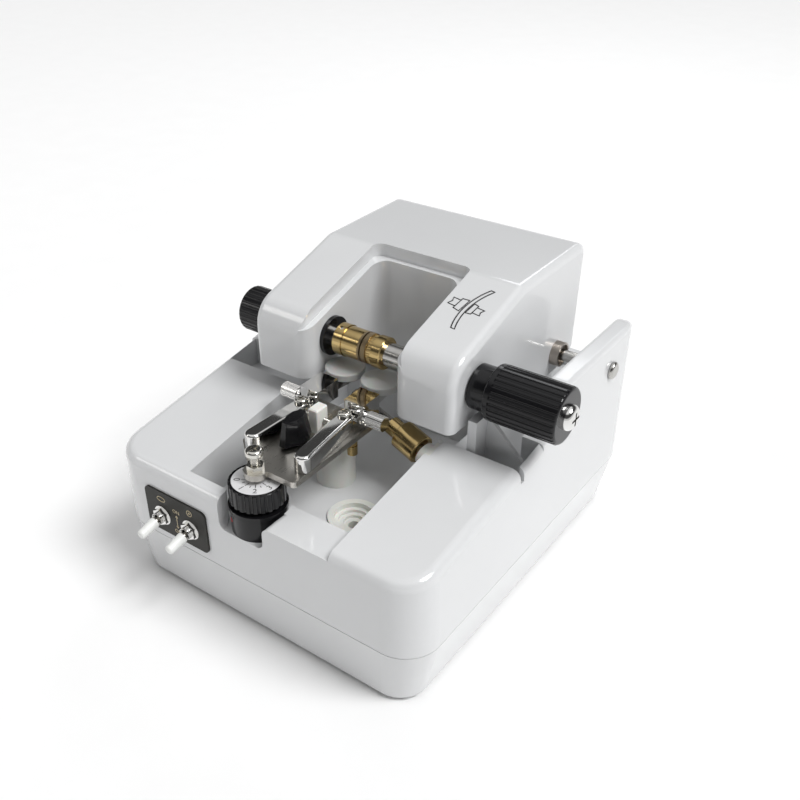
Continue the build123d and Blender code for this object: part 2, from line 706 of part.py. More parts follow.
def make_top_shell():
    """Upper housing: sloped deck, open well, saddles, platform and two towers."""
    body = shell_blank(0) & under_deck(0)
    rim = [e for e in body.edges() if e.center().Z > deck_height(e.center().Y) - 1.5]
    shell = fillet(rim, DECK_FILLET) + tower(-1) + tower(1)
    inside = shell_blank(WALL) & under_deck(WALL)
    inside -= box(WELL_LEFT - WALL, WELL_RIGHT + WALL, -HALF_D, WELL_REAR + WALL, WELL_FLOOR - WALL, ABOVE)
    inside -= box(-HALF_W, HALF_W, SADDLE_FRONT - WALL, HALF_D, PLATFORM_HEIGHT - WALL, ABOVE)
    shell -= inside
    for void in (tower_hollow(-1), tower_hollow(1), well_void(), platform_void(), front_hollows()):
        shell -= void
    shell += cradle_rib()
    shell -= bearing_slot()
    shell -= wall_holes()
    for x, y in foot_places():
        roof = PLATFORM_HEIGHT if y > 0 else deck_height(y)
        shell += upright(x, y, POST_RADIUS, SHELL_BOTTOM, roof - WALL / 2)
        shell -= upright(x, y, SCREW_RADIUS + FIT, SHELL_BOTTOM - 1, SHELL_BOTTOM + SCREW_BITE)
    return shell


def make_drain_cup():
    """Stepped drain cup in the well's floor, with a spout below."""
    bottom = WELL_FLOOR - DRAIN_DEPTH
    cup = upright(DRAIN_X, DRAIN_Y, DRAIN_RADIUS, WELL_FLOOR, WELL_FLOOR + DRAIN_FLANGE)
    cup += upright(DRAIN_X, DRAIN_Y, DRAIN_RADIUS - DRAIN_LEDGE, bottom, WELL_FLOOR + 0.5)
    cup += upright(DRAIN_X, DRAIN_Y, DRAIN_SPOUT_RADIUS, bottom - DRAIN_SPOUT_LENGTH, bottom + 1)
    for step in (1, 2, 3):
        radius = DRAIN_RADIUS - DRAIN_LEDGE * (step + 0.6)
        depth = (DRAIN_DEPTH - DRAIN_SPOUT_WALL) * step / 3
        cup -= upright(DRAIN_X, DRAIN_Y, radius, WELL_FLOOR - depth, WELL_FLOOR + 2)
    return cup - upright(DRAIN_X, DRAIN_Y, DRAIN_SPOUT_RADIUS - DRAIN_SPOUT_WALL, 0, WELL_FLOOR)


# Supply, board and sockets

def make_transformer():
    """Laminated core with two windows, and the coil on its middle leg."""
    leg = CORE_LENGTH / 4
    x, y, z = SUPPLY_X, SUPPLY_Y, WALL
    half = CORE_DEPTH / 2
    core = box(x - 2 * leg, x + 2 * leg, y - half, y + half, z, z + CORE_HEIGHT)
    low, high = z + leg / 2, z + CORE_HEIGHT - leg / 2
    for side in (-1, 1):
        core -= box(*sorted((x + side * leg / 2, x + side * leg * 1.5)), y - half - 1, y + half + 1, low, high)
    coil = box(x - leg * 1.4, x + leg * 1.4, y - COIL_DEPTH / 2, y + COIL_DEPTH / 2, low + SEAT, high - SEAT)
    coil = fillet(coil.edges().filter_by(Axis.Z), WALL)
    coil -= box(x - leg / 2 - FIT, x + leg / 2 + FIT, y - half - FIT, y + half + FIT, z, z + CORE_HEIGHT)
    return [core, coil]


def make_control_board():
    """Circuit board with a row of parts, on four posts."""
    z = WALL + BOARD_LIFT
    top = z + BOARD_THICKNESS
    board = box(BOARD_X - BOARD_LENGTH / 2, BOARD_X + BOARD_LENGTH / 2, BOARD_Y - BOARD_DEPTH / 2,
                BOARD_Y + BOARD_DEPTH / 2, z, top)
    for i in range(3):
        x = BOARD_X + BOARD_LENGTH * (i - 1) * 0.27
        board += upright(x, BOARD_Y - BOARD_DEPTH * 0.2, 5, top - 0.5, top + 16)
        board += box(x - 6, x + 6, BOARD_Y + 4, BOARD_Y + 14, top - 0.5, top + 5 + i)
    return board


def make_power_inlet():
    """Mains inlet in the rear wall, with three pins in its hollow."""
    x, z = INLET_X, SOCKET_Z
    w, h = INLET_WIDTH / 2, INLET_HEIGHT / 2
    bottom = HALF_D - INLET_DEPTH
    inlet = box(x - w, x + w, HALF_D, HALF_D + INLET_FLANGE, z - h, z + h)
    inset = INLET_BORDER + FIT
    inlet += box(x - w + inset, x + w - inset, bottom - 2, HALF_D + 0.5, z - h + inset, z + h - inset)
    hw, hh = INLET_HOLLOW_WIDTH / 2, INLET_HOLLOW_HEIGHT / 2
    inlet -= box(x - hw, x + hw, bottom, HALF_D + 5, z - hh, z + hh)
    for dx, dz in ((-7, -1.5), (0, 2), (7, -1.5)):
        inlet += box(x + dx - 1, x + dx + 1, bottom - 1, HALF_D - PIN_RECESS, z + dz - 2, z + dz + 2)
    return inlet


def make_fuse_holder():
    """Round fuse holder beside the inlet, with its slotted cap."""
    face = HALF_D + FUSE_CAP_HEIGHT
    holder = along_y(FUSE_X, SOCKET_Z, FUSE_RADIUS, HALF_D - FUSE_DEPTH, HALF_D + 0.5)
    holder += along_y(FUSE_X, SOCKET_Z, FUSE_CAP_RADIUS, HALF_D, face)
    return holder - box(FUSE_X - 5, FUSE_X + 5, face - 1.2, face + 1, SOCKET_Z - 0.6, SOCKET_Z + 0.6)


# Depth dial

def dot_rod(radius, extra):
    """The index dot's plug, or the hole for it."""
    out = (cos(radians(DOT_ANGLE)), sin(radians(DOT_ANGLE)), 0)
    reach = DIAL_HOUSING_RADIUS
    return rod((DIAL_X, DIAL_Y, DOT_Z), out, radius, reach - DOT_DEPTH, reach + extra)


def make_dial_housing():
    """Fixed black housing that the dial turns in."""
    housing = upright(DIAL_X, DIAL_Y, DIAL_HOUSING_RADIUS, DIAL_HOUSING_BOTTOM, DIAL_HOUSING_TOP - 0.5)
    housing += upright(DIAL_X, DIAL_Y, DIAL_FLANGE_RADIUS, DIAL_HOUSING_TOP - DIAL_FLANGE, DIAL_HOUSING_TOP)
    bore_bottom = DIAL_HOUSING_TOP - DIAL_STEM_LENGTH - 1
    housing -= upright(DIAL_X, DIAL_Y, DIAL_STEM_RADIUS + FIT, bore_bottom, DIAL_HOUSING_TOP + 1)
    return housing - dot_rod(DOT_RADIUS + FIT, 1)


def make_dial_knob():
    """Ribbed dial with a boss, a stem in the housing and a recess on top."""
    skirt_bottom = DIAL_TOP - DIAL_SKIRT
    stem_bottom = DIAL_HOUSING_TOP - DIAL_STEM_LENGTH
    knob = upright(DIAL_X, DIAL_Y, DIAL_RADIUS, skirt_bottom, DIAL_TOP)
    knob = fillet(knob.edges().group_by(Axis.Z)[-1], 0.6)
    knob = fluted(knob, (DIAL_X, DIAL_Y, 0), (0, 0, 1), DIAL_RADIUS, skirt_bottom - 1, DIAL_TOP + 1,
                  DIAL_FLUTES, FLUTE_DEPTH)
    knob += upright(DIAL_X, DIAL_Y, DIAL_BOSS_RADIUS, DIAL_HOUSING_TOP + SEAT, skirt_bottom + 1)
    knob += upright(DIAL_X, DIAL_Y, DIAL_STEM_RADIUS, stem_bottom, skirt_bottom)
    knob -= upright(DIAL_X, DIAL_Y, DIAL_FACE_RADIUS + FIT, DIAL_TOP - DIAL_FACE_THICKNESS, DIAL_TOP + 1)
    return knob - upright(DIAL_X, DIAL_Y, PLUNGER_RADIUS + FIT, stem_bottom - 1, DIAL_TOP)


def make_dial_face():
    """White printed disc in the dial's recess."""
    return upright(DIAL_X, DIAL_Y, DIAL_FACE_RADIUS, DIAL_TOP - DIAL_FACE_THICKNESS, DIAL_TOP,
                   PLUNGER_RADIUS + FIT)


def make_dial_plunger():
    """Steel pin that the dial lifts against the depth screw."""
    pin = upright(DIAL_X, DIAL_Y, PLUNGER_RADIUS, DIAL_HOUSING_TOP - DIAL_STEM_LENGTH, DIAL_TOP + PLUNGER_PROUD)
    return fillet(pin.edges().group_by(Axis.Z)[-1], 0.5)


# Switches

def make_switch_panel():
    """Black label plate on the front wall, with two holes."""
    plane = Plane(origin=(PANEL_X, -HALF_D, PANEL_Z), x_dir=(1, 0, 0), z_dir=(0, -1, 0))
    panel = extrude(plane * RectangleRounded(PANEL_WIDTH, PANEL_HEIGHT, PANEL_CORNER), amount=PANEL_THICKNESS)
    for x in (SWITCH_LEFT_X, SWITCH_RIGHT_X):
        panel -= along_y(x, SWITCH_Z, SWITCH_BUSH_RADIUS + FIT, PANEL_FACE - 1, -HALF_D + 1)
    return panel


def make_switch_bodies():
    """Two toggle switches behind the wall, their bushes through it."""
    bodies = []
    rear = -HALF_D + WALL
    mouth = PANEL_FACE - SWITCH_BUSH_PROUD
    half_x, half_z = SWITCH_BODY_WIDTH / 2, SWITCH_BODY_HEIGHT / 2
    for x in (SWITCH_LEFT_X, SWITCH_RIGHT_X):
        case = box(x - half_x, x + half_x, rear, rear + SWITCH_BODY_DEPTH, SWITCH_Z - half_z, SWITCH_Z + half_z)
        case += along_y(x, SWITCH_Z, SWITCH_BUSH_RADIUS, mouth, rear + 0.5)
        bore_end = LEVER_PIVOT_Y + LEVER_BALL_RADIUS + SEAT
        case -= along_y(x, SWITCH_Z, SWITCH_BORE_RADIUS, mouth - 1, bore_end)
        case -= rod((x, mouth + 1, SWITCH_Z), (0, -1, 0), SWITCH_BORE_RADIUS, 0, 1, top=SWITCH_BUSH_RADIUS - SEAT)
        bodies.append(case)
    return bodies


def make_switch_nuts():
    """A thin washer and a hexagonal nut on each switch bush."""
    seat = PANEL_FACE - WASHER_THICKNESS
    hole = SWITCH_BUSH_RADIUS + FIT
    fasteners = []
    for x in (SWITCH_LEFT_X, SWITCH_RIGHT_X):
        fasteners.append(along_y(x, SWITCH_Z, WASHER_RADIUS, seat, PANEL_FACE, hole))
        fasteners.append(hexagon((x, 0, SWITCH_Z), (0, -1, 0), NUT_FLATS, -seat, -seat + NUT_THICKNESS, hole))
    return fasteners


def make_toggle(x):
    """Steel lever with its ball, and the white sleeve pushed over it."""
    tilt = radians(LEVER_REST_DEG)
    pivot, out = (x, LEVER_PIVOT_Y, SWITCH_Z), (0, -cos(tilt), -sin(tilt))
    lever = Pos(*pivot) * Sphere(LEVER_BALL_RADIUS)
    lever += rod(pivot, out, LEVER_RADIUS, 0, LEVER_LENGTH - SLEEVE_CAP)
    start = LEVER_LENGTH - SLEEVE_LENGTH
    sleeve = rod(pivot, out, SLEEVE_RADIUS, start, LEVER_LENGTH, top=SLEEVE_TIP_RADIUS)
    sleeve = fillet([sleeve.edges().sort_by(Axis.Y)[0]], SLEEVE_TIP_RADIUS * 0.6)
    sleeve -= rod(pivot, out, LEVER_RADIUS + FIT, start - 1, LEVER_LENGTH - SLEEVE_CAP + FIT)
    return [lever, sleeve]


# Head

def head_outline(inset):
    """Side outline of the head, and the corners that are rounded."""
    slope = tan(radians(HEAD_SLOPE_DEG))
    lean = sqrt(1 + slope * slope)
    front, rear, top = HEAD_FRONT + inset, HEAD_REAR - inset, HEAD_TOP - inset
    nose_z = HEAD_TOP - slope * (HEAD_KNEE - front) - inset * lean
    knee_y = HEAD_KNEE + inset * (lean - 1) / slope
    arm, body = ARM_BOTTOM + inset, BODY_BOTTOM + inset
    points = [(front, arm), (front, nose_z), (knee_y, top), (rear, top), (rear, body + BODY_CHAMFER),
              (rear - BODY_CHAMFER, body), (BODY_BOTTOM_START + inset, body), (ARM_BOTTOM_END + inset, arm)]
    rounds = [((front, nose_z), HEAD_NOSE_RADIUS - inset), ((knee_y, top), HEAD_KNEE_RADIUS),
              ((rear, top), HEAD_REAR_RADIUS - inset)]
    return points, rounds


def gap_cut(half, rear, corner):
    """Plan of the lens gap: open to the front, rounded at its corners."""
    far = HEAD_FRONT - 20
    wide = HEAD_HALF_WIDTH + 5
    points = [(-half, rear), (half, rear), (half, HEAD_FRONT), (wide, HEAD_FRONT), (wide, far),
              (-wide, far), (-wide, HEAD_FRONT), (-half, HEAD_FRONT)]
    rounds = [(points[i], corner) for i in (0, 1, 2, 7)]
    return plan_extrusion(points, BODY_BOTTOM - 1, HEAD_TOP + 1, rounds)


def above_ledge():
    """Everything above the ledge that runs round the lens gap."""
    slope = tan(radians(HEAD_SLOPE_DEG))
    y0, y1 = HEAD_FRONT - 25, HEAD_REAR
    ledge = HEAD_TOP - LEDGE_DROP
    points = [(y0, ledge - slope * (HEAD_KNEE - y0)), (HEAD_KNEE, ledge), (y1, ledge),
              (y1, HEAD_TOP + 5), (y0, HEAD_TOP + 5)]
    return side_extrusion(points, -HEAD_HALF_WIDTH - 10, HEAD_HALF_WIDTH + 10)


def cover_places():
    """Plan limits and height of the three covers under the head."""
    x0, x1 = INNER_WALL + COVER_MARGIN, HEAD_HALF_WIDTH - WALL - COVER_MARGIN
    y0, y1 = HEAD_FRONT + WALL + COVER_MARGIN, ARM_BOTTOM_END - COVER_MARGIN
    b0 = BODY_BOTTOM_START + WALL + COVER_MARGIN
    b1 = HEAD_REAR - BODY_CHAMFER - WALL - COVER_MARGIN
    return [(-x1, -x0, y0, y1, ARM_BOTTOM), (x0, x1, y0, y1, ARM_BOTTOM), (-x1, x1, b0, b1, BODY_BOTTOM)]


def head_hollow():
    """The hollow inside the head, round the lens gap and the shaft's bosses."""
    points, rounds = head_outline(WALL)
    inner = HEAD_HALF_WIDTH - WALL
    hollow = side_extrusion(points, -inner, inner, rounds)
    hollow -= box(-INNER_WALL, INNER_WALL, HEAD_FRONT - 1, GAP_REAR + LEDGE_WIDTH + WALL,
                  BODY_BOTTOM - 1, HEAD_TOP + 1)
    for side in (-1, 1):
        low, high = sided(side, inner - CROSS_BOSS_LENGTH, HEAD_HALF_WIDTH)
        hollow -= along_x(CROSS_Y, CROSS_Z, CROSS_BOSS_RADIUS, low, high)
    return hollow


def make_head_shell():
    """Hollow U-shaped head with a ledge round the lens gap."""
    points, rounds = head_outline(0)
    head = side_extrusion(points, -HEAD_HALF_WIDTH, HEAD_HALF_WIDTH, rounds)
    sides = [e for e in head.edges() if abs(abs(e.center().X) - HEAD_HALF_WIDTH) < 0.01]
    head = fillet([e for e in sides if e.center().Z > ARM_BOTTOM + 1], HEAD_EDGE_FILLET)
    head -= gap_cut(GAP_HALF_WIDTH, GAP_REAR, GAP_CORNER)
    head -= gap_cut(UPPER_GAP, GAP_REAR + LEDGE_WIDTH, LEDGE_CORNER) & above_ledge()
    head -= head_hollow()
    for x0, x1, y0, y1, z in cover_places():
        head -= box(x0, x1, y0, y1, z - 1, z + COVER_THICKNESS)
        head -= box(x0 + COVER_LEDGE, x1 - COVER_LEDGE, y0 + COVER_LEDGE, y1 - COVER_LEDGE, z, z + WALL + 1)
    for side in (-1, 1):
        low, high = sided(side, GAP_HALF_WIDTH - 1, HEAD_HALF_WIDTH + 1)
        head -= along_x(SPINDLE_Y, SPINDLE_Z, BUSH_RADIUS + FIT, low, high)
    reach = HEAD_HALF_WIDTH - 1
    head -= along_x(CROSS_Y, CROSS_Z, CROSS_RADIUS + FIT, -reach, reach)
    reach = HEAD_HALF_WIDTH + 1
    return head - along_x(PIVOT_Y, PIVOT_Z, PIVOT_BUSH_RADIUS + FIT, -reach, reach)


def make_head_covers():
    """Three flat covers let into the head's underside."""
    return [box(x0 + FIT, x1 - FIT, y0 + FIT, y1 - FIT, z, z + COVER_THICKNESS)
            for x0, x1, y0, y1, z in cover_places()]


def make_head_bushes():
    """Hinge bushes with a cup at the outer end, and two plain spindle bushes in each arm."""
    bushes = []
    end = HEAD_HALF_WIDTH + PIVOT_BUSH_PROUD
    start = (0, PIVOT_Y, PIVOT_Z)
    for side in (-1, 1):
        bush = rod(start, (side, 0, 0), PIVOT_BUSH_RADIUS, end - PIVOT_BUSH_LENGTH, end, PIVOT_RADIUS + FIT)
        cup = PIVOT_BUSH_RADIUS - PIVOT_CUP_WALL
        bushes.append(bush - rod(start, (side, 0, 0), cup, end - PIVOT_CUP_DEPTH, end + 1))
        for near in (GAP_HALF_WIDTH, HEAD_HALF_WIDTH - BUSH_LENGTH):
            low, high = sided(side, near, near + BUSH_LENGTH)
            bushes.append(along_x(SPINDLE_Y, SPINDLE_Z, BUSH_RADIUS, low, high, SPINDLE_RADIUS + FIT))
    return bushes


def make_pivot_shaft():
    """Steel shaft through both towers, on which the head swings."""
    end = TOWER_OUTER - SEAT
    shaft = along_x(PIVOT_Y, PIVOT_Z, PIVOT_RADIUS, -end, end)
    for side in (-1, 1):
        shaft -= along_x(PIVOT_Y, PIVOT_Z, SCREW_RADIUS + FIT, *sided(side, end - SCREW_BITE, end + 1))
    return shaft


def make_pivot_screws():
    """Two dome-headed screws in the ends of the hinge shaft."""
    screws = []
    lean = SIDE_LEAN / (ABOVE - SHELL_BOTTOM)
    face = TOWER_OUTER + lean * (ABOVE - PIVOT_Z) + SEAT
    for side in (-1, 1):
        start, out = (0, PIVOT_Y, PIVOT_Z), (side, 0, 0)
        head = rod(start, out, PIVOT_SCREW_HEAD, face, face + PIVOT_SCREW_HEIGHT)
        rim = head.edges().sort_by(Axis.X)[-1 if side > 0 else 0]
        head = fillet([rim], PIVOT_SCREW_HEIGHT * 0.7)
        screws.append(head + rod(start, out, SCREW_RADIUS, TOWER_OUTER - SCREW_BITE + 1, face + 0.5))
    return screws


# Lens spindles

def make_seal_rings():
    """Two black splash rings on the inner faces of the arms."""
    return [along_x(SPINDLE_Y, SPINDLE_Z, SEAL_RADIUS, *sided(side, GAP_HALF_WIDTH - SEAL_THICKNESS, GAP_HALF_WIDTH),
                    SPINDLE_RADIUS + FIT) for side in (-1, 1)]


def setscrew_rod(radius, extra):
    """The left clamp's set screw, or the hole for it."""
    angle = radians(SETSCREW_ANGLE)
    x = LEFT_CLAMP_END + LEFT_CLAMP_RING / 2
    reach = CLAMP_RING_RADIUS - 0.6
    return rod((x, SPINDLE_Y, SPINDLE_Z), (0, cos(angle), sin(angle)), radius, SPINDLE_RADIUS + FIT, reach + extra)


def make_left_spindle():
    """Left spindle, from inside its knob to inside its clamp, and the clamp's set screw."""
    outer = -KNOB_START - LEFT_KNOB_LENGTH + KNOB_CAP
    bar = along_x(SPINDLE_Y, SPINDLE_Z, SPINDLE_RADIUS, outer, LEFT_FACE - CLAMP_END_WALL)
    return [bar, setscrew_rod(SETSCREW_RADIUS, 0)]


def make_left_clamp():
    """Brass clamp: a collar with a set-screw hole and the longer pad end."""
    clamp = along_x(SPINDLE_Y, SPINDLE_Z, CLAMP_RING_RADIUS, LEFT_CLAMP_END, LEFT_RING_END)
    clamp = chamfer(clamp.edges().group_by(Axis.X)[0], 0.5)
    clamp += along_x(SPINDLE_Y, SPINDLE_Z, CLAMP_RADIUS, LEFT_RING_END - 0.5, LEFT_FACE)
    clamp -= along_x(SPINDLE_Y, SPINDLE_Z, SPINDLE_RADIUS + FIT, LEFT_CLAMP_END - 1,
                     LEFT_FACE - CLAMP_END_WALL + FIT)
    return clamp - setscrew_rod(SETSCREW_RADIUS + FIT, 2)


def make_pad(face, length):
    """Rubber pad on a clamp's face."""
    pad = along_x(SPINDLE_Y, SPINDLE_Z, CLAMP_RADIUS, *sorted((face, face + length)))
    return pad


def pulley(x, y, z, bore):
    """Pulley with two flanges, centred at x on an axis parallel to X."""
    half = PULLEY_WIDTH / 2
    rim = PULLEY_RADIUS + BELT_THICKNESS + 0.5
    wheel = along_x(y, z, PULLEY_RADIUS, x - half - 0.5, x + half + 0.5)
    wheel += along_x(y, z, rim, x - half - PULLEY_FLANGE, x - half)
    wheel += along_x(y, z, rim, x + half, x + half + PULLEY_FLANGE)
    return wheel - along_x(y, z, bore + FIT, x - PULLEY_WIDTH, x + PULLEY_WIDTH)


def make_left_knob():
    """Short ribbed hand knob on the left."""
    start, out = (0, SPINDLE_Y, SPINDLE_Z), (-1, 0, 0)
    end = KNOB_START + LEFT_KNOB_LENGTH
    knob = rod(start, out, LEFT_KNOB_RADIUS, KNOB_START, end)
    knob = fillet([knob.edges().sort_by(Axis.X)[0]], 1.2)
    knob = fluted(knob, start, out, LEFT_KNOB_RADIUS, KNOB_START + FLUTE_START, end + 1, KNOB_FLUTES, FLUTE_DEPTH)
    return knob - rod(start, out, SPINDLE_RADIUS + FIT, KNOB_START - 1, end - KNOB_CAP + FIT)


def make_right_spindle():
    """Right spindle, from inside its clamp to inside its knob."""
    end = KNOB_START + RIGHT_COLLAR_LENGTH + RIGHT_KNOB_LENGTH - 2 * KNOB_CAP
    bar = along_x(SPINDLE_Y, SPINDLE_Z, SPINDLE_RADIUS, RIGHT_FACE + CLAMP_END_WALL, end)
    return bar - along_x(SPINDLE_Y, SPINDLE_Z, SCREW_RADIUS + FIT, end - SCREW_BITE, end + 1)


def make_right_clamp():
    """Brass clamp: knurled waist and ring."""
    ring = RIGHT_FACE + RIGHT_WAIST_LENGTH
    start = (0, SPINDLE_Y, SPINDLE_Z)
    clamp = along_x(SPINDLE_Y, SPINDLE_Z, RIGHT_WAIST_RADIUS, RIGHT_FACE, ring + 0.5)
    clamp = fluted(clamp, start, (1, 0, 0), RIGHT_WAIST_RADIUS, RIGHT_FACE - 1, ring, KNURL_CUTS, FLUTE_DEPTH / 2)
    head = along_x(SPINDLE_Y, SPINDLE_Z, CLAMP_RING_RADIUS, ring, RIGHT_CLAMP_END)
    clamp += chamfer(head.edges().group_by(Axis.X)[-1], 0.5)
    return clamp - along_x(SPINDLE_Y, SPINDLE_Z, SPINDLE_RADIUS + FIT, RIGHT_FACE + CLAMP_END_WALL - FIT,
                           RIGHT_CLAMP_END + 1)


def make_right_knob():
    """Long ribbed hand knob on the right, with a plain collar."""
    start, out = (0, SPINDLE_Y, SPINDLE_Z), (1, 0, 0)
    body_start = KNOB_START + RIGHT_COLLAR_LENGTH
    end = body_start + RIGHT_KNOB_LENGTH
    knob = rod(start, out, RIGHT_KNOB_RADIUS, body_start, end)
    knob = fillet(knob.edges().group_by(Axis.X)[-1], 1.6)
    knob = fillet(knob.edges().group_by(Axis.X)[0], 1.0)
    knob = fluted(knob, start, out, RIGHT_KNOB_RADIUS, body_start + FLUTE_START, end + 1, KNOB_FLUTES, FLUTE_DEPTH)
    knob += rod(start, out, RIGHT_COLLAR_RADIUS, KNOB_START, body_start + 1)
    knob -= rod(start, out, SPINDLE_RADIUS + FIT, KNOB_START - 1, end - 2 * KNOB_CAP + FIT)
    return knob - rod(start, out, SCREW_RADIUS + FIT, end - 3 * KNOB_CAP, end + 1)


def make_right_knob_screw():
    """Dome-headed cross screw in the end of the right knob."""
    start, out = (0, SPINDLE_Y, SPINDLE_Z), (1, 0, 0)
    end = KNOB_START + RIGHT_COLLAR_LENGTH + RIGHT_KNOB_LENGTH
    tip = end + KNOB_SCREW_HEIGHT
    head = rod(start, out, KNOB_SCREW_RADIUS, end, tip)
    head = fillet([head.edges().sort_by(Axis.X)[-1]], KNOB_SCREW_HEIGHT * 0.85)
    reach, slot = KNOB_SCREW_RADIUS * 0.55, KNOB_SCREW_RADIUS * 0.1
    head -= box(tip - 1.2, tip + 1, SPINDLE_Y - slot, SPINDLE_Y + slot, SPINDLE_Z - reach, SPINDLE_Z + reach)
    head -= box(tip - 1.2, tip + 1, SPINDLE_Y - reach, SPINDLE_Y + reach, SPINDLE_Z - slot, SPINDLE_Z + slot)
    return head + rod(start, out, SCREW_RADIUS, end - 2 * KNOB_CAP - SCREW_BITE + 1, end + 0.5)


# Lens drive

def make_cross_drive():
    """Shaft across the head, with the pulley of each belt."""
    reach = HEAD_HALF_WIDTH - 1 - SEAT
    shaft = along_x(CROSS_Y, CROSS_Z, CROSS_RADIUS, -reach, reach)
    return [shaft] + [pulley(side * PULLEY_CENTRE, CROSS_Y, CROSS_Z, CROSS_RADIUS) for side in (-1, 1)]


def make_drive_belts():
    """Two belts from the cross shaft to the spindles."""
    run = Vector(0, CROSS_Y - SPINDLE_Y, CROSS_Z - SPINDLE_Z)
    return [belt_loop(Vector(side * PULLEY_CENTRE, SPINDLE_Y, SPINDLE_Z), run, (1, 0, 0), PULLEY_RADIUS,
                      PULLEY_WIDTH - 2 * SEAT) for side in (-1, 1)]


def make_lens_motor():
    """Gear motor on the cross shaft, hung from the head's roof."""
    half = LENS_MOTOR_LENGTH / 2
    nose = half + LENS_MOTOR_NOSE
    mount = LENS_MOTOR_MOUNT / 2
    motor = along_x(CROSS_Y, CROSS_Z, LENS_MOTOR_RADIUS, -half, half)
    motor += along_x(CROSS_Y, CROSS_Z, LENS_MOTOR_RADIUS - LENS_MOTOR_NOSE, -nose, nose)
    motor += box(-mount, mount, CROSS_Y - mount, CROSS_Y + mount, CROSS_Z, HEAD_TOP - WALL)
    return motor - along_x(CROSS_Y, CROSS_Z, CROSS_RADIUS + FIT, -nose - 1, nose + 1)


# Guide mechanism

def make_guide_pillar():
    """Round nylon pillar that carries the guide plate's fork."""
    pillar = upright(PILLAR_X, PILLAR_Y, PILLAR_RADIUS, WELL_FLOOR, FORK_SEAT)
    return fillet(pillar.edges().group_by(Axis.Z)[-1], 0.8)


def make_guide_fork():
    """Steel fork on the pillar, and the hinge pin held in its two lugs."""
    x0, x1 = PILLAR_X - FORK_HALF_WIDTH, PILLAR_X + FORK_HALF_WIDTH
    half = FORK_DEPTH / 2
    fork = box(x0, x1, PILLAR_Y - half, PILLAR_Y + half, FORK_SEAT, FORK_SEAT + FORK_THICKNESS)
    for low in (x0, x1 - FORK_THICKNESS):
        high = low + FORK_THICKNESS
        fork += box(low, high, PILLAR_Y - FORK_LUG_RADIUS, PILLAR_Y + FORK_LUG_RADIUS, FORK_SEAT, FORK_PIN_Z)
        fork += along_x(PILLAR_Y, FORK_PIN_Z, FORK_LUG_RADIUS, low, high)
    fork -= along_x(PILLAR_Y, FORK_PIN_Z, FORK_PIN_RADIUS + FIT, x0 - 1, x1 + 1)
    pin = along_x(PILLAR_Y, FORK_PIN_Z, FORK_PIN_RADIUS, x0 - FORK_PIN_PROUD, x1 + FORK_PIN_PROUD)
    return [fork, pin]


def make_guide_plate():
    """Stainless plate hinged on the pin, with a tongue over the dial."""
    tongue = (DIAL_X - TONGUE_RADIUS - 1, PLATE_FRONT)
    points = [(PLATE_LEFT, PLATE_REAR), (PLATE_LEFT, PLATE_LEFT_FRONT), tongue,
              (PLATE_RIGHT, PLATE_FRONT), (PLATE_RIGHT, PLATE_REAR)]
    rounds = [(points[i], PLATE_CORNER) for i in (0, 1, 3, 4)]
    plate = plan_extrusion(points, PLATE_BOTTOM, PLATE_TOP, rounds)
    plate += upright(DIAL_X, DIAL_Y, TONGUE_RADIUS, PLATE_BOTTOM, PLATE_TOP)
    for side in (-1, 1):
        near = PILLAR_X + side * (FORK_HALF_WIDTH - FORK_THICKNESS - SEAT)
        low, high = sorted((near, near - side * FORK_THICKNESS))
        plate += box(low, high, PILLAR_Y - FORK_LUG_RADIUS, PILLAR_Y + FORK_LUG_RADIUS, FORK_PIN_Z,
                     PLATE_BOTTOM + 0.5)
        plate += along_x(PILLAR_Y, FORK_PIN_Z, FORK_LUG_RADIUS, low, high)
    plate -= along_x(PILLAR_Y, FORK_PIN_Z, FORK_PIN_RADIUS + FIT, PILLAR_X - FORK_HALF_WIDTH,
                     PILLAR_X + FORK_HALF_WIDTH)
    holes = [(DIAL_X, DIAL_Y, DEPTH_SCREW_RADIUS), (LEFT_PIVOT_X, LEFT_PIVOT_Y, ARM_SCREW_RADIUS),
             (RIGHT_PIVOT_X, RIGHT_PIVOT_Y, ARM_SCREW_RADIUS), (SELECTOR_X, SELECTOR_Y, SELECTOR_PIN_RADIUS)]
    for x, y, radius in holes:
        plate -= upright(x, y, radius + FIT, PLATE_BOTTOM - 1, PLATE_TOP + 1)
    return plate


def make_depth_screw():
    """Pan-head screw through the tongue, over the dial's plunger, and its lock nut."""
    tip = DIAL_TOP + PLUNGER_PROUD + SEAT
    screw = pan_screw(DIAL_X, DIAL_Y, DEPTH_SCREW_TOP, DEPTH_SCREW_HEAD, DEPTH_SCREW_RADIUS, DEPTH_SCREW_TOP - tip)
    nut = hexagon((DIAL_X, DIAL_Y, 0), (0, 0, 1), DEPTH_NUT_FLATS, PLATE_TOP, PLATE_TOP + DEPTH_NUT_HEIGHT,
                  DEPTH_SCREW_RADIUS + FIT)
    return [screw, nut]


def make_brass_studs():
    """Brass studs under the plate, each with a groove."""
    studs = []
    for x, y in ((RIGHT_STUD_X, RIGHT_STUD_Y), (LEFT_STUD_X, LEFT_STUD_Y)):
        stud = upright(x, y, STUD_RADIUS, PLATE_BOTTOM - STUD_LENGTH, PLATE_BOTTOM)
        groove = PLATE_BOTTOM - 3 * STUD_GROOVE
        stud -= upright(x, y, STUD_RADIUS + 1, groove - STUD_GROOVE, groove, STUD_RADIUS - STUD_GROOVE / 2)
        studs.append(stud)
    return studs


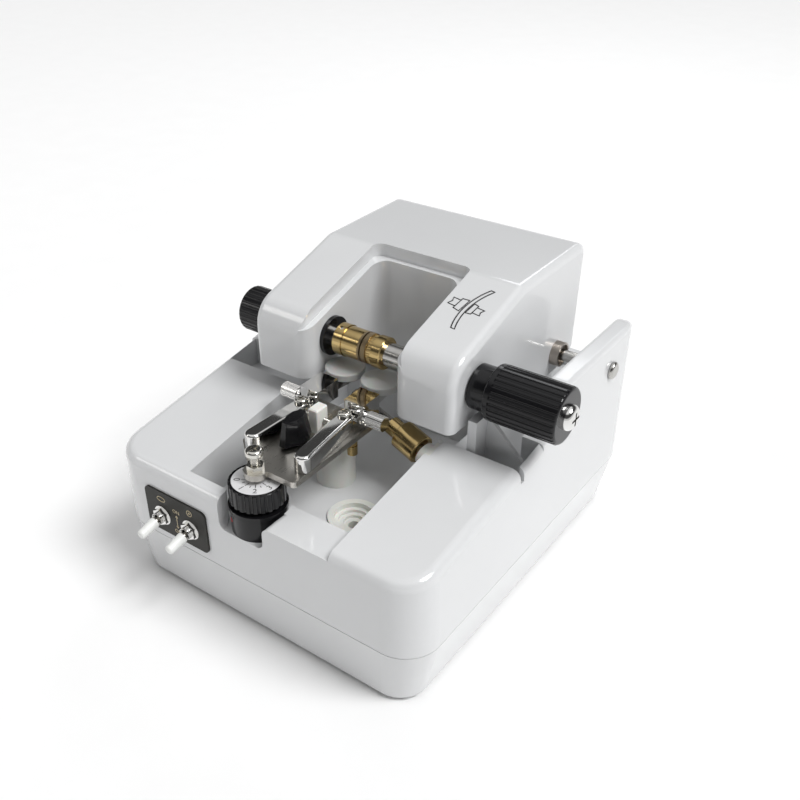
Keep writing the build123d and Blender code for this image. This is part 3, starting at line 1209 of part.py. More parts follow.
def make_guide_wedge():
    """White nylon finger standing on the plate between the arms."""
    half_x, half_y = WEDGE_WIDTH / 2, WEDGE_DEPTH / 2
    wedge = box(WEDGE_X - half_x, WEDGE_X + half_x, WEDGE_Y - half_y, WEDGE_Y + half_y, PLATE_TOP,
                PLATE_TOP + WEDGE_HEIGHT)
    wedge = fillet(wedge.edges().filter_by(Axis.Z), 0.8)
    return chamfer(wedge.edges().group_by(Axis.Z)[-1], 0.6)


def make_arm_screws():
    """Pan-head pivot screws of the two arms, fixed in the plate."""
    places = ((LEFT_PIVOT_X, LEFT_PIVOT_Y), (RIGHT_PIVOT_X, RIGHT_PIVOT_Y))
    return [pan_screw(x, y, ARM_TOP + FIT, ARM_SCREW_HEAD, ARM_SCREW_RADIUS, ARM_TOP - PLATE_BOTTOM)
            for x, y in places]


def tail_bar(pivot_x, pivot_y, block_x, gap):
    """Flat tail of an arm, from its pivot to under its block, widened by a gap."""
    return bar_between(pivot_x, pivot_y, block_x, TAIL_REAR, TAIL_WIDTH + 2 * gap, TAIL_BOTTOM, TAIL_TOP)


def make_arm(handle_x, pivot_x, pivot_y, block_x):
    """Chromed handle that turns on its screw, with a flat tail behind."""
    arm = bar_between(handle_x, HANDLE_TIP_Y, pivot_x, pivot_y, ARM_WIDTH, ARM_FLOOR, ARM_TOP)
    arm = fillet(arm.edges().group_by(Axis.Z)[-1], ARM_EDGE)
    arm += tail_bar(pivot_x, pivot_y, block_x, 0)
    return arm - upright(pivot_x, pivot_y, ARM_SCREW_RADIUS + FIT, ARM_FLOOR - 1, ARM_TOP + 1)


def make_block(pivot_x, pivot_y, block_x, block_front, roller_x, side):
    """Steel block astride the arm's tail, with the lug that carries the roller."""
    rear = ROLLER_Y - ROLLER_RADIUS - 2 * SEAT
    block = box(block_x - BLOCK_HALF_WIDTH, block_x + BLOCK_HALF_WIDTH, block_front, rear, TAIL_BOTTOM, BLOCK_TOP)
    block = fillet(block.edges().filter_by(Axis.Z), 0.8)
    block -= tail_bar(pivot_x, pivot_y, block_x, FIT)
    lug_top = ROLLER_BOTTOM - SEAT
    block += bar_between(block_x, rear - 2, roller_x, ROLLER_Y, LUG_WIDTH, TAIL_TOP, lug_top)
    block += upright(roller_x, ROLLER_Y, ROLLER_PIN_RADIUS, TAIL_TOP,
                     ROLLER_BOTTOM + ROLLER_THICKNESS - ROLLER_CAP - SEAT)
    face = block_x + side * BLOCK_HALF_WIDTH
    return block - rod((face, block_front + ADJUSTER_SETBACK, ADJUSTER_Z), (-side, 0, 0),
                       ADJUSTER_SHANK_RADIUS + FIT, -1, ADJUSTER_BITE + FIT)


def make_roller(x):
    """Translucent nylon roller that guides one face of the lens."""
    top = ROLLER_BOTTOM + ROLLER_THICKNESS
    roller = fillet(upright(x, ROLLER_Y, ROLLER_RADIUS, ROLLER_BOTTOM, top).edges().filter_by(GeomType.CIRCLE), 0.6)
    return roller - upright(x, ROLLER_Y, ROLLER_PIN_RADIUS + FIT, ROLLER_BOTTOM - 1, top - ROLLER_CAP)


def make_adjuster(block_x, block_front, side):
    """Knurled adjusting screw in the side of a block."""
    start, out = (block_x + side * BLOCK_HALF_WIDTH, block_front + ADJUSTER_SETBACK, ADJUSTER_Z), (side, 0, 0)
    end = SEAT + ADJUSTER_LENGTH
    knob = rod(start, out, ADJUSTER_RADIUS, SEAT + ADJUSTER_COLLAR, end)
    knob = fluted(knob, start, out, ADJUSTER_RADIUS, SEAT + ADJUSTER_COLLAR - 1, end + 1, ADJUSTER_FLUTES,
                  FLUTE_DEPTH / 2)
    knob += rod(start, out, ADJUSTER_COLLAR_RADIUS, SEAT, SEAT + ADJUSTER_COLLAR + 1)
    return knob + rod(start, out, ADJUSTER_SHANK_RADIUS, -ADJUSTER_BITE, SEAT + 1)


def make_selector_lever():
    """Black faceted selector between the arms, on a pin through the plate."""
    x, y = SELECTOR_X, SELECTOR_Y
    w, h, t = SELECTOR_HALF_WIDTH, SELECTOR_HALF_LENGTH, SELECTOR_TAPER
    base = PLATE_TOP + SEAT
    outline = [(0.35, -1.0), (1.0, -0.25), (1.0, 0.45), (0.45, 1.0), (-0.45, 1.0), (-1.0, 0.45),
               (-1.0, -0.25), (-0.35, -1.0)]
    rings = [(base + SELECTOR_BOSS_HEIGHT, w, h), (base + SELECTOR_HEIGHT, w - t, h - t)]
    faces = [Plane.XY.offset(z) * make_face(Polyline(*[(x + a * u, y + b * v) for u, v in outline], close=True))
             for z, a, b in rings]
    lever = loft(faces, ruled=True)
    lever += upright(x, y, SELECTOR_BOSS_RADIUS, base, base + SELECTOR_BOSS_HEIGHT + 0.5)
    return lever + upright(x, y, SELECTOR_PIN_RADIUS, PLATE_BOTTOM - 1.5, base + 1)


# Grooving wheel

def wheel_pulley(start, bore):
    """Small belt pulley on one of the two parallel shafts of the wheel drive."""
    flange = WHEEL_PULLEY_RADIUS + BELT_THICKNESS / 2
    body = rod(start, WHEEL_AXIS, WHEEL_PULLEY_RADIUS, WHEEL_PULLEY_START, PULLEY_END)
    for low in (WHEEL_PULLEY_START - WHEEL_PULLEY_FLANGE, PULLEY_END):
        body += rod(start, WHEEL_AXIS, flange, low, low + WHEEL_PULLEY_FLANGE)
    return body - rod(start, WHEEL_AXIS, bore + FIT, WHEEL_PULLEY_START - 2, PULLEY_END + 2)


def make_wheel_shaft():
    """Slanted shaft from the grooving wheel to the pulley on its far end."""
    shaft = rod(WHEEL_CENTRE, WHEEL_AXIS, WHEEL_SHAFT_RADIUS, -WHEEL_HUB_LENGTH, PULLEY_END + 1)
    return [shaft, wheel_pulley(WHEEL_CENTRE, WHEEL_SHAFT_RADIUS)]


def make_grooving_wheel():
    """Thin abrasive disc with a vee edge on a short hub."""
    half = WHEEL_THICKNESS / 2
    wheel = rod(WHEEL_CENTRE, WHEEL_AXIS, WHEEL_RADIUS, -half, half)
    wheel = chamfer(wheel.edges().filter_by(GeomType.CIRCLE), half * 0.8)
    wheel += rod(WHEEL_CENTRE, WHEEL_AXIS, WHEEL_HUB_RADIUS, -WHEEL_HUB_LENGTH / 2, WHEEL_HUB_LENGTH)
    return wheel - rod(WHEEL_CENTRE, WHEEL_AXIS, WHEEL_SHAFT_RADIUS + FIT, -WHEEL_HUB_LENGTH, WHEEL_HUB_LENGTH + 1)


def make_wheel_chuck():
    """Brass chuck: a neck with a set-screw hole and the thicker body."""
    step = CHUCK_START + CHUCK_NECK
    end = step + CHUCK_BODY
    body = rod(WHEEL_CENTRE, WHEEL_AXIS, CHUCK_RADIUS, step, end)
    chuck = chamfer(body.edges().filter_by(GeomType.CIRCLE), 0.5)
    chuck += rod(WHEEL_CENTRE, WHEEL_AXIS, CHUCK_NECK_RADIUS, CHUCK_START, step + 0.5)
    chuck -= rod(WHEEL_CENTRE, WHEEL_AXIS, WHEEL_SHAFT_RADIUS + FIT, CHUCK_START - 1, end + 1)
    out = WHEEL_AXIS.cross(Vector(0, 0.6, 0.8)).cross(WHEEL_AXIS)
    hole = wheel_point(CHUCK_START + CHUCK_NECK / 2)
    return chuck - rod(hole, out, SETSCREW_RADIUS + FIT, 0, CHUCK_NECK_RADIUS + 1)


def make_wheel_bearing():
    """White bearing block that fills the slot in the well's wall."""
    centre = wheel_point(WALL_DISTANCE + WALL / 2)
    bearing = rod(WHEEL_CENTRE, WHEEL_AXIS, BEARING_RADIUS, WALL_DISTANCE - BEARING_PROUD,
                  WALL_DISTANCE + WALL + BEARING_PROUD)
    bearing += box(WELL_RIGHT, WELL_RIGHT + WALL, centre.Y - BEARING_RADIUS, centre.Y + BEARING_RADIUS,
                   centre.Z, deck_height(centre.Y - BEARING_RADIUS) - SEAT)
    return bearing - rod(WHEEL_CENTRE, WHEEL_AXIS, WHEEL_SHAFT_RADIUS + FIT, CHUCK_START, WHEEL_PULLEY_START)


def make_wheel_motor():
    """Wheel motor in its cradle, parallel to the slanted shaft."""
    motor = rod(MOTOR_CENTRE, WHEEL_AXIS, WHEEL_MOTOR_RADIUS, WHEEL_MOTOR_START, MOTOR_END)
    return motor - rod(MOTOR_CENTRE, WHEEL_AXIS, MOTOR_SHAFT_RADIUS + FIT, MOTOR_END - MOTOR_SHAFT_BITE - SEAT,
                       MOTOR_END + 1)


def make_motor_pulley():
    """Motor shaft and the pulley on it."""
    shaft = rod(MOTOR_CENTRE, WHEEL_AXIS, MOTOR_SHAFT_RADIUS, MOTOR_END - MOTOR_SHAFT_BITE, PULLEY_END + 1)
    return [shaft, wheel_pulley(MOTOR_CENTRE, MOTOR_SHAFT_RADIUS)]


def make_wheel_belt():
    """Belt between the motor and the wheel shaft."""
    centre = wheel_point(WHEEL_PULLEY_START + WHEEL_PULLEY_WIDTH / 2)
    return belt_loop(centre, MOTOR_CENTRE - WHEEL_CENTRE, WHEEL_AXIS, WHEEL_PULLEY_RADIUS,
                     WHEEL_PULLEY_WIDTH - SEAT)


PARTS = {}


def add(name, shape):
    """Keep a node, as one solid or as a group of separate solids."""
    shapes = shape if isinstance(shape, list) else [shape]
    solids = [solid for item in shapes for solid in item.solids()]
    PARTS[name] = solids[0] if len(solids) == 1 else Compound(children=solids)


add("base_tub", make_base_tub())
add("rubber_feet", make_rubber_feet())
add("housing_screws", make_housing_screws())
add("top_shell", make_top_shell())
add("drain_cup", make_drain_cup())
add("transformer", make_transformer())
add("control_board", make_control_board())
add("rear_sockets", [make_power_inlet(), make_fuse_holder()])

add("dial_housing", make_dial_housing())
add("index_dot", dot_rod(DOT_RADIUS, 0))
add("dial_knob", make_dial_knob())
add("dial_face", make_dial_face())
add("dial_plunger", make_dial_plunger())

add("switch_panel", make_switch_panel())
add("switch_bodies", make_switch_bodies())
add("switch_nuts", make_switch_nuts())
add("left_toggle", make_toggle(SWITCH_LEFT_X))
add("right_toggle", make_toggle(SWITCH_RIGHT_X))

add("head_shell", make_head_shell())
add("head_covers", make_head_covers())
add("head_bushes", make_head_bushes())
add("pivot_shaft", [make_pivot_shaft()] + make_pivot_screws())
add("seal_rings", make_seal_rings())
add("lens_motor", make_lens_motor())
add("drive_belts", make_drive_belts())
add("cross_drive", make_cross_drive())
add("left_spindle", make_left_spindle())
add("left_clamp", make_left_clamp())
add("left_pad", make_pad(LEFT_FACE, LEFT_PAD_LENGTH))
add("left_pulley", pulley(-PULLEY_CENTRE, SPINDLE_Y, SPINDLE_Z, SPINDLE_RADIUS))
add("left_knob", make_left_knob())
add("right_pulley", pulley(PULLEY_CENTRE, SPINDLE_Y, SPINDLE_Z, SPINDLE_RADIUS))
add("right_spindle", make_right_spindle())
add("right_clamp", make_right_clamp())
add("right_pad", make_pad(RIGHT_FACE, -RIGHT_PAD_LENGTH))
add("right_knob", make_right_knob())
add("right_knob_screw", make_right_knob_screw())

add("guide_pillar", make_guide_pillar())
add("guide_fork", make_guide_fork())
add("guide_plate", make_guide_plate())
add("depth_screw", make_depth_screw())
add("brass_studs", make_brass_studs())
add("guide_wedge", make_guide_wedge())
add("selector_lever", make_selector_lever())
add("arm_screws", make_arm_screws())
add("left_arm", make_arm(LEFT_HANDLE_X, LEFT_PIVOT_X, LEFT_PIVOT_Y, LEFT_BLOCK_X))
add("left_block", make_block(LEFT_PIVOT_X, LEFT_PIVOT_Y, LEFT_BLOCK_X, LEFT_BLOCK_FRONT, LEFT_ROLLER_X, -1))
add("left_roller", make_roller(LEFT_ROLLER_X))
add("left_adjuster", make_adjuster(LEFT_BLOCK_X, LEFT_BLOCK_FRONT, -1))
add("right_arm", make_arm(RIGHT_HANDLE_X, RIGHT_PIVOT_X, RIGHT_PIVOT_Y, RIGHT_BLOCK_X))
add("right_block", make_block(RIGHT_PIVOT_X, RIGHT_PIVOT_Y, RIGHT_BLOCK_X, RIGHT_BLOCK_FRONT, RIGHT_ROLLER_X, 1))
add("right_roller", make_roller(RIGHT_ROLLER_X))
add("right_adjuster", make_adjuster(RIGHT_BLOCK_X, RIGHT_BLOCK_FRONT, 1))

add("wheel_shaft", make_wheel_shaft())
add("grooving_wheel", make_grooving_wheel())
add("wheel_chuck", make_wheel_chuck())
add("wheel_bearing", make_wheel_bearing())
add("wheel_motor", make_wheel_motor())
add("motor_pulley", make_motor_pulley())
add("wheel_belt", make_wheel_belt())

os.makedirs("parts", exist_ok=True)
for name, shape in PARTS.items():
    export_step(shape, f"parts/{name}.step")
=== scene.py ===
"""Looks of a bench lens groover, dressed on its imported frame."""

from __future__ import annotations

import json
import logging
import math
from dataclasses import dataclass
from enum import Enum

import bpy
from mathutils import Matrix, Vector


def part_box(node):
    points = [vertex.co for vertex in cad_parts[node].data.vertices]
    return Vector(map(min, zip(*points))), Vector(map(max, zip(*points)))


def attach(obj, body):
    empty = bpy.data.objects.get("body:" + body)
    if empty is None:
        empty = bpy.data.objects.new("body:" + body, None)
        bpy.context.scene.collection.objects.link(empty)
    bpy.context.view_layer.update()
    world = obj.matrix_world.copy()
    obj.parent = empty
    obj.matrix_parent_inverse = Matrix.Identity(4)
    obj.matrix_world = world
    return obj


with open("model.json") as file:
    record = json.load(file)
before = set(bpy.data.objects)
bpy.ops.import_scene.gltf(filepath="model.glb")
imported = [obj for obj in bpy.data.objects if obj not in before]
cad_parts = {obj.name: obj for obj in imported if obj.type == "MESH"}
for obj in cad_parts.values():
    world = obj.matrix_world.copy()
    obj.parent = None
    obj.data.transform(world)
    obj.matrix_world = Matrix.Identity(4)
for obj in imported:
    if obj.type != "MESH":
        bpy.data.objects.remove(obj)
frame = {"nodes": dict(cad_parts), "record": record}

LOG = logging.getLogger("lens_groover")
MM = 0.001
Point = tuple[float, float, float]
Colour = tuple[float, float, float]


class Signal:
    """A shader socket that takes part in Python arithmetic."""

    def __init__(self, graph: Graph, socket: bpy.types.NodeSocket) -> None:
        """Keep the socket and the graph that it belongs to."""
        self.graph = graph
        self.socket = socket

    def _math(self, operation: str, first: Signal | float, second: Signal | float) -> Signal:
        """Add a Math node.

        Args:
            operation: The Math node's operation.
            first: Its first value.
            second: Its second value.

        Returns:
            The node's result.
        """
        node = self.graph.node("ShaderNodeMath", {"operation": operation}, {0: first, 1: second})
        return Signal(self.graph, node.outputs[0])

    def __add__(self, other: Signal | float) -> Signal:
        """Return self + other."""
        return self._math("ADD", self, other)

    def __radd__(self, other: float) -> Signal:
        """Return other + self."""
        return self._math("ADD", other, self)

    def __sub__(self, other: Signal | float) -> Signal:
        """Return self - other."""
        return self._math("SUBTRACT", self, other)

    def __rsub__(self, other: float) -> Signal:
        """Return other - self."""
        return self._math("SUBTRACT", other, self)

    def __mul__(self, other: Signal | float) -> Signal:
        """Return self * other."""
        return self._math("MULTIPLY", self, other)

    def __rmul__(self, other: float) -> Signal:
        """Return other * self."""
        return self._math("MULTIPLY", other, self)

    def __abs__(self) -> Signal:
        """Return the size of self without its sign."""
        return self._math("ABSOLUTE", self, 0.0)

    def sine(self) -> Signal:
        """Return the sine of self."""
        return self._math("SINE", self, 0.0)

    def angle_from(self, other: Signal) -> Signal:
        """Return the angle of the point (other, self) round the origin."""
        return self._math("ARCTAN2", self, other)

    def __gt__(self, other: Signal | float) -> Signal:
        """Return 1 where self is more than other, else 0."""
        return self._math("GREATER_THAN", self, other)


class Lay(Enum):
    """How a surface was worked, which sets the run of its fine marks."""

    EVEN = ("scaled", (1.0, 1.0, 1.0))
    BRUSHED_ALONG_Y = ("scaled", (1.0, 0.03, 1.0))
    TURNED_ABOUT_X = ("along", (1.0, 0.0, 0.0))
    TURNED_ABOUT_Y = ("along", (0.0, 1.0, 0.0))
    TURNED_ABOUT_Z = ("along", (0.0, 0.0, 1.0))
    TURNED_ABOUT_WHEEL = ("along", (0.956, -0.191, -0.222))


class Graph:
    """The node graph of one material, ending in a Principled shader."""

    def __init__(self, name: str) -> None:
        """Make an empty material of that name with its shader."""
        self.material = bpy.data.materials.new(f"finish_{name}")
        self.material.use_nodes = True
        self.tree = self.material.node_tree
        self.shader = self.tree.nodes["Principled BSDF"]
        coordinates = self.node("ShaderNodeTexCoord", {}, {})
        self.place = Signal(self, coordinates.outputs["Object"])

    def put(self, socket: bpy.types.NodeSocket, value: Signal | float | tuple) -> None:
        """Link a signal to a socket, or set the socket's own value."""
        if isinstance(value, Signal):
            self.tree.links.new(value.socket, socket)
        elif isinstance(value, tuple) and len(value) == 3 and socket.type == "RGBA":
            socket.default_value = (*value, 1.0)
        else:
            socket.default_value = value

    def node(self, kind: str, settings: dict, inputs: dict) -> bpy.types.Node:
        """Add a node.

        Args:
            kind: The node's type.
            settings: Attributes that are set before its sockets.
            inputs: Socket name or index to a value or signal.

        Returns:
            The new node.
        """
        node = self.tree.nodes.new(kind)
        for name, value in settings.items():
            setattr(node, name, value)
        for key, value in inputs.items():
            self.put(node.inputs[key], value)
        return node

    def noise(self, per_mm: float, detail: float = 2.0, lay: Lay = Lay.EVEN) -> Signal:
        """Noise whose run follows how the surface was worked.

        Args:
            per_mm: Cells of noise in a millimetre.
            detail: Octaves of noise.
            lay: How the surface was worked.

        Returns:
            A value from 0 to 1.
        """
        kind, direction = lay.value
        scale = per_mm / MM
        if kind == "along":
            along = self.node("ShaderNodeVectorMath", {"operation": "DOT_PRODUCT"},
                              {0: self.place, 1: direction})
            source = {"W": Signal(self, along.outputs["Value"]) * scale, "Scale": 1.0, "Detail": detail}
            noise = self.node("ShaderNodeTexNoise", {"noise_dimensions": "1D"}, source)
            return Signal(self, noise.outputs[0])
        scaled = self.node("ShaderNodeVectorMath", {"operation": "MULTIPLY"}, {0: self.place, 1: direction})
        source = {"Vector": Signal(self, scaled.outputs["Vector"]), "Scale": scale, "Detail": detail}
        return Signal(self, self.node("ShaderNodeTexNoise", {}, source).outputs[0])

    def mix(self, factor: Signal, low: Colour | Signal, high: Colour | Signal) -> Signal:
        """Mix two colours by a factor."""
        node = self.tree.nodes.new("ShaderNodeMix")
        node.data_type = "RGBA"
        self.put(node.inputs["Factor"], factor)
        colours = [socket for socket in node.inputs if socket.type == "RGBA"]
        self.put(colours[0], low)
        self.put(colours[1], high)
        return Signal(self, next(socket for socket in node.outputs if socket.type == "RGBA"))

    def shade(self, **values: Signal | float | tuple) -> None:
        """Set the shader's sockets, whose names are given with underscores for spaces."""
        for name, value in values.items():
            self.put(self.shader.inputs[name.replace("_", " ")], value)

    def relief(self, height: Signal, strength: float, depth_mm: float) -> None:
        """Raise the surface's fine relief by a height."""
        bump = self.node("ShaderNodeBump", {}, {"Height": height, "Strength": strength,
                                                "Distance": depth_mm * MM})
        self.shade(Normal=Signal(self, bump.outputs["Normal"]))


@dataclass(frozen=True)
class Plastic:
    """A moulded or printed finish, with faint clouding and a fine skin."""

    name: str
    colour: Colour
    cloud: Colour
    roughness: float = 0.3
    spread: float = 0.08
    coat: float = 0.0
    glow: float = 0.0
    skin_per_mm: float = 1.5
    skin_strength: float = 0.05
    clear: float = 0.0
    gloss: float = 0.5

    def build(self) -> bpy.types.Material:
        """Return the material."""
        graph = Graph(self.name)
        cloud = graph.noise(0.03, 3.0)
        skin = graph.noise(self.skin_per_mm, 2.0)
        graph.shade(Base_Color=graph.mix(cloud, self.colour, self.cloud), Coat_Weight=self.coat,
                    Coat_Roughness=0.06, Subsurface_Weight=self.glow, Subsurface_Scale=2 * MM,
                    Transmission_Weight=self.clear, Specular_IOR_Level=self.gloss,
                    Roughness=self.roughness + self.spread * (cloud - 0.5) + self.spread * (skin - 0.5))
        graph.relief(skin, self.skin_strength, 0.02)
        return graph.material


@dataclass(frozen=True)
class Metal:
    """A metal finish, with tool marks and faint stains."""

    name: str
    colour: Colour
    stain: Colour
    roughness: float = 0.2
    spread: float = 0.1
    lay: Lay = Lay.EVEN
    marks_per_mm: float = 4.0
    marks_strength: float = 0.08

    def build(self) -> bpy.types.Material:
        """Return the material."""
        graph = Graph(self.name)
        marks = graph.noise(self.marks_per_mm, 3.0, self.lay)
        stains = graph.noise(0.12, 4.0)
        graph.shade(Base_Color=graph.mix(stains, self.colour, self.stain), Metallic=1.0,
                    Roughness=self.roughness + self.spread * (marks - 0.5) + self.spread * (stains - 0.5))
        graph.relief(marks, self.marks_strength, 0.03)
        return graph.material


@dataclass(frozen=True)
class SleevedLever:
    """A steel lever whose outer end has a white sleeve on it."""

    name: str
    pivot_mm: Point
    tilt_deg: float = 12.0
    sleeve_start_mm: float = 4.0

    def build(self) -> bpy.types.Material:
        """Return the material."""
        graph = Graph(self.name)
        tilt = math.radians(self.tilt_deg)
        out = Vector((0.0, -math.cos(tilt), -math.sin(tilt)))
        along = graph.node("ShaderNodeVectorMath", {"operation": "DOT_PRODUCT"}, {0: graph.place, 1: out[:]})
        start = out.dot(Vector(self.pivot_mm) * MM)
        sleeve = (Signal(graph, along.outputs["Value"]) - start) > (self.sleeve_start_mm - 0.01) * MM
        cloud = graph.noise(0.4, 3.0)
        white = graph.mix(cloud, (0.84, 0.85, 0.83), (0.78, 0.79, 0.77))
        steel = graph.mix(cloud, (0.72, 0.7, 0.66), (0.5, 0.48, 0.45))
        graph.shade(Base_Color=graph.mix(sleeve, steel, white), Metallic=1.0 - sleeve,
                    Roughness=0.24 + 0.14 * sleeve + 0.08 * (cloud - 0.5))
        graph.relief(graph.noise(2.0), 0.05, 0.02)
        return graph.material


@dataclass(frozen=True)
class CoilAndCore:
    """Enamelled copper winding on a grey laminated core."""

    name: str
    centre_y_mm: float
    core_half_mm: float

    def build(self) -> bpy.types.Material:
        """Return the material."""
        graph = Graph(self.name)
        offset = graph.node("ShaderNodeVectorMath", {"operation": "DOT_PRODUCT"},
                            {0: graph.place, 1: (0.0, 1.0, 0.0)})
        depth = abs(Signal(graph, offset.outputs["Value"]) - self.centre_y_mm * MM)
        coil = depth > (self.core_half_mm + 0.2) * MM
        sheets = graph.noise(2.0, 1.0, Lay.TURNED_ABOUT_Y)
        wires = graph.noise(3.0, 1.0, Lay.TURNED_ABOUT_Z)
        core = graph.mix(sheets, (0.16, 0.16, 0.17), (0.3, 0.3, 0.31))
        copper = graph.mix(wires, (0.42, 0.16, 0.07), (0.6, 0.28, 0.12))
        graph.shade(Base_Color=graph.mix(coil, core, copper), Metallic=0.6 + 0.2 * coil,
                    Roughness=0.42 - 0.1 * coil)
        graph.relief(wires, 0.2, 0.05)
        return graph.material


@dataclass(frozen=True)
class KnurledRing:
    """Brass with fine slanted ridges round an axis along X, its grooves darkened with painted shade."""

    name: str
    centre_y_mm: float
    centre_z_mm: float
    ridges: int = 40
    slant_per_mm: float = 0.9

    def build(self) -> bpy.types.Material:
        """Return the material."""
        graph = Graph(self.name)
        split = graph.node("ShaderNodeSeparateXYZ", {}, {0: graph.place})
        along, across, upwards = (Signal(graph, socket) for socket in split.outputs)
        angle = (upwards - self.centre_z_mm * MM).angle_from(across - self.centre_y_mm * MM)
        ridge = (angle * self.ridges + along * (self.slant_per_mm * math.tau / MM)).sine() * 0.5 + 0.5
        # Painted shade: the grooves between the ridges are coloured dark brown, and the crests keep a brass
        # colour.
        graph.shade(Base_Color=graph.mix(ridge, (0.1, 0.07, 0.04), (0.42, 0.33, 0.2)), Metallic=1.0,
                    Roughness=0.42 - 0.1 * ridge)
        graph.relief(ridge, 0.6, 0.15)
        return graph.material


class Bench:
    """Modelling steps that the sub-assemblies share."""

    @staticmethod
    def clear() -> None:
        """Deselect every object."""
        bpy.ops.object.select_all(action="DESELECT")

    @classmethod
    def pick(cls, piece: bpy.types.Object) -> None:
        """Make a piece the only selected and the active object."""
        cls.clear()
        piece.select_set(True)
        bpy.context.view_layer.objects.active = piece

    @classmethod
    def settle(cls, piece: bpy.types.Object, name: str = "") -> bpy.types.Object:
        """Put a piece's place, turn and scale into its mesh, and name it if a name is given."""
        cls.pick(piece)
        bpy.ops.object.transform_apply(location=True, rotation=True, scale=True)
        if name:
            piece.name = name
            piece.data.name = name
        return piece

    @classmethod
    def cylinder(cls, radius: float, length: float, centre: Vector, direction: Point,
                 sides: int) -> bpy.types.Object:
        """A round bar.

        Args:
            radius: Its radius in millimetres.
            length: Its length in millimetres.
            centre: Its centre in millimetres.
            direction: The direction of its axis.
            sides: Sides of its outline.

        Returns:
            The bar, with its place in its mesh.
        """
        cls.clear()
        turn = Vector(direction).to_track_quat("Z", "Y").to_euler()
        bpy.ops.mesh.primitive_cylinder_add(vertices=sides, radius=radius * MM, depth=length * MM,
                                            location=centre * MM, rotation=turn)
        return cls.settle(bpy.context.active_object)

    @classmethod
    def block(cls, size: Point, centre: Vector) -> bpy.types.Object:
        """A block of a size round a centre, in millimetres."""
        cls.clear()
        bpy.ops.mesh.primitive_cube_add(size=1.0, location=centre * MM)
        piece = bpy.context.active_object
        piece.scale = Vector(size) * MM
        return cls.settle(piece)

    @classmethod
    def bevel(cls, piece: bpy.types.Object, width: float, segments: int = 2) -> bpy.types.Object:
        """Round a piece's sharp edges by a width in millimetres."""
        cls.pick(piece)
        modifier = piece.modifiers.new("Bevel", "BEVEL")
        modifier.width = width * MM
        modifier.segments = segments
        bpy.ops.object.modifier_apply(modifier=modifier.name)
        return piece

    @classmethod
    def smooth(cls, piece: bpy.types.Object, angle_deg: float = 35.0) -> bpy.types.Object:
        """Shade a piece smooth up to an angle between its faces."""
        cls.pick(piece)
        bpy.ops.object.shade_smooth_by_angle(angle=math.radians(angle_deg))
        return piece

    @classmethod
    def join(cls, pieces: list[bpy.types.Object], name: str) -> bpy.types.Object:
        """Join pieces into one of that name."""
        cls.clear()
        for piece in pieces:
            piece.select_set(True)
        bpy.context.view_layer.objects.active = pieces[0]
        if len(pieces) > 1:
            bpy.ops.object.join()
        pieces[0].name = name
        pieces[0].data.name = name
        return pieces[0]

    @classmethod
    def carry(cls, piece: bpy.types.Object, matrix: Matrix) -> bpy.types.Object:
        """Move a piece made at the origin, in millimetres, to its place in the frame."""
        piece.matrix_world = Matrix.Scale(MM, 4) @ matrix @ piece.matrix_world
        return cls.settle(piece)

    @classmethod
    def lettering(cls, words: str, height: float, thickness: float) -> bpy.types.Object:
        """Raised letters lying in the XY plane round the origin, in millimetres.

        Args:
            words: The text.
            height: The size of the letters.
            thickness: How far they stand up.

        Returns:
            The letters as a mesh.
        """
        cls.clear()
        bpy.ops.object.text_add()
        piece = bpy.context.active_object
        piece.data.body = words
        piece.data.size = height
        piece.data.align_x = "CENTER"
        piece.data.align_y = "CENTER"
        piece.data.extrude = thickness / 2
        piece.data.resolution_u = 4
        cls.pick(piece)
        bpy.ops.object.convert(target="MESH")
        return bpy.context.active_object

    @classmethod
    def stroke(cls, points: list[tuple[float, float]], width: float, closed: bool) -> bpy.types.Object:
        """A drawn line in the XY plane, in millimetres, as a thin raised mesh.

        Args:
            points: The points that the line passes through.
            width: The line's width.
            closed: Whether it returns to its first point.

        Returns:
            The line as a mesh.
        """
        curve = bpy.data.curves.new("stroke", "CURVE")
        curve.dimensions = "3D"
        curve.bevel_depth = width / 2
        curve.bevel_resolution = 1
        curve.use_fill_caps = True
        spline = curve.splines.new("POLY")
        spline.points.add(len(points) - 1)
        for point, (x, y) in zip(spline.points, points):
            point.co = (x, y, 0.0, 1.0)
        spline.use_cyclic_u = closed
        piece = bpy.data.objects.new("stroke", curve)
        bpy.context.collection.objects.link(piece)
        cls.pick(piece)
        bpy.ops.object.convert(target="MESH")
        piece = bpy.context.active_object
        piece.scale = (1.0, 1.0, 0.2)
        return piece

    @classmethod
    def rings(cls, radius: float, wire: float, pitch: float, count: int, start: Vector,
              direction: Point) -> bpy.types.Object:
        """The crests of a screw thread.

        Args:
            radius: Radius of the middle of a crest, in millimetres.
            wire: Half the thickness of a crest.
            pitch: Distance between two crests.
            count: How many crests there are.
            start: Centre of the first crest.
            direction: Direction of the screw's axis.

        Returns:
            The crests as one mesh.
        """
        cls.clear()
        bpy.ops.mesh.primitive_torus_add(major_radius=radius * MM, minor_radius=wire * MM,
                                         major_segments=40, minor_segments=6)
        piece = bpy.context.active_object
        row = piece.modifiers.new("Array", "ARRAY")
        row.use_relative_offset = False
        row.use_constant_offset = True
        row.constant_offset_displace = (0.0, 0.0, pitch * MM)
        row.count = count
        bpy.ops.object.modifier_apply(modifier=row.name)
        piece.rotation_euler = Vector(direction).to_track_quat("Z", "Y").to_euler()
        piece.location = start * MM
        return cls.settle(piece)

    @classmethod
    def dress(cls, piece: bpy.types.Object, finish: bpy.types.Material, body: str, slot: str) -> None:
        """Give a new piece its finish and its body, and report it."""
        piece.data.materials.clear()
        piece.data.materials.append(finish)
        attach(piece, body)
        LOG.info("%s rides on %s, %d faces", piece.name, body, len(piece.data.polygons))


def box_mm(node: str) -> tuple[Vector, Vector]:
    """Lowest and highest corner of a CAD node in millimetres."""
    low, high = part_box(node)
    return Vector(low) / MM, Vector(high) / MM


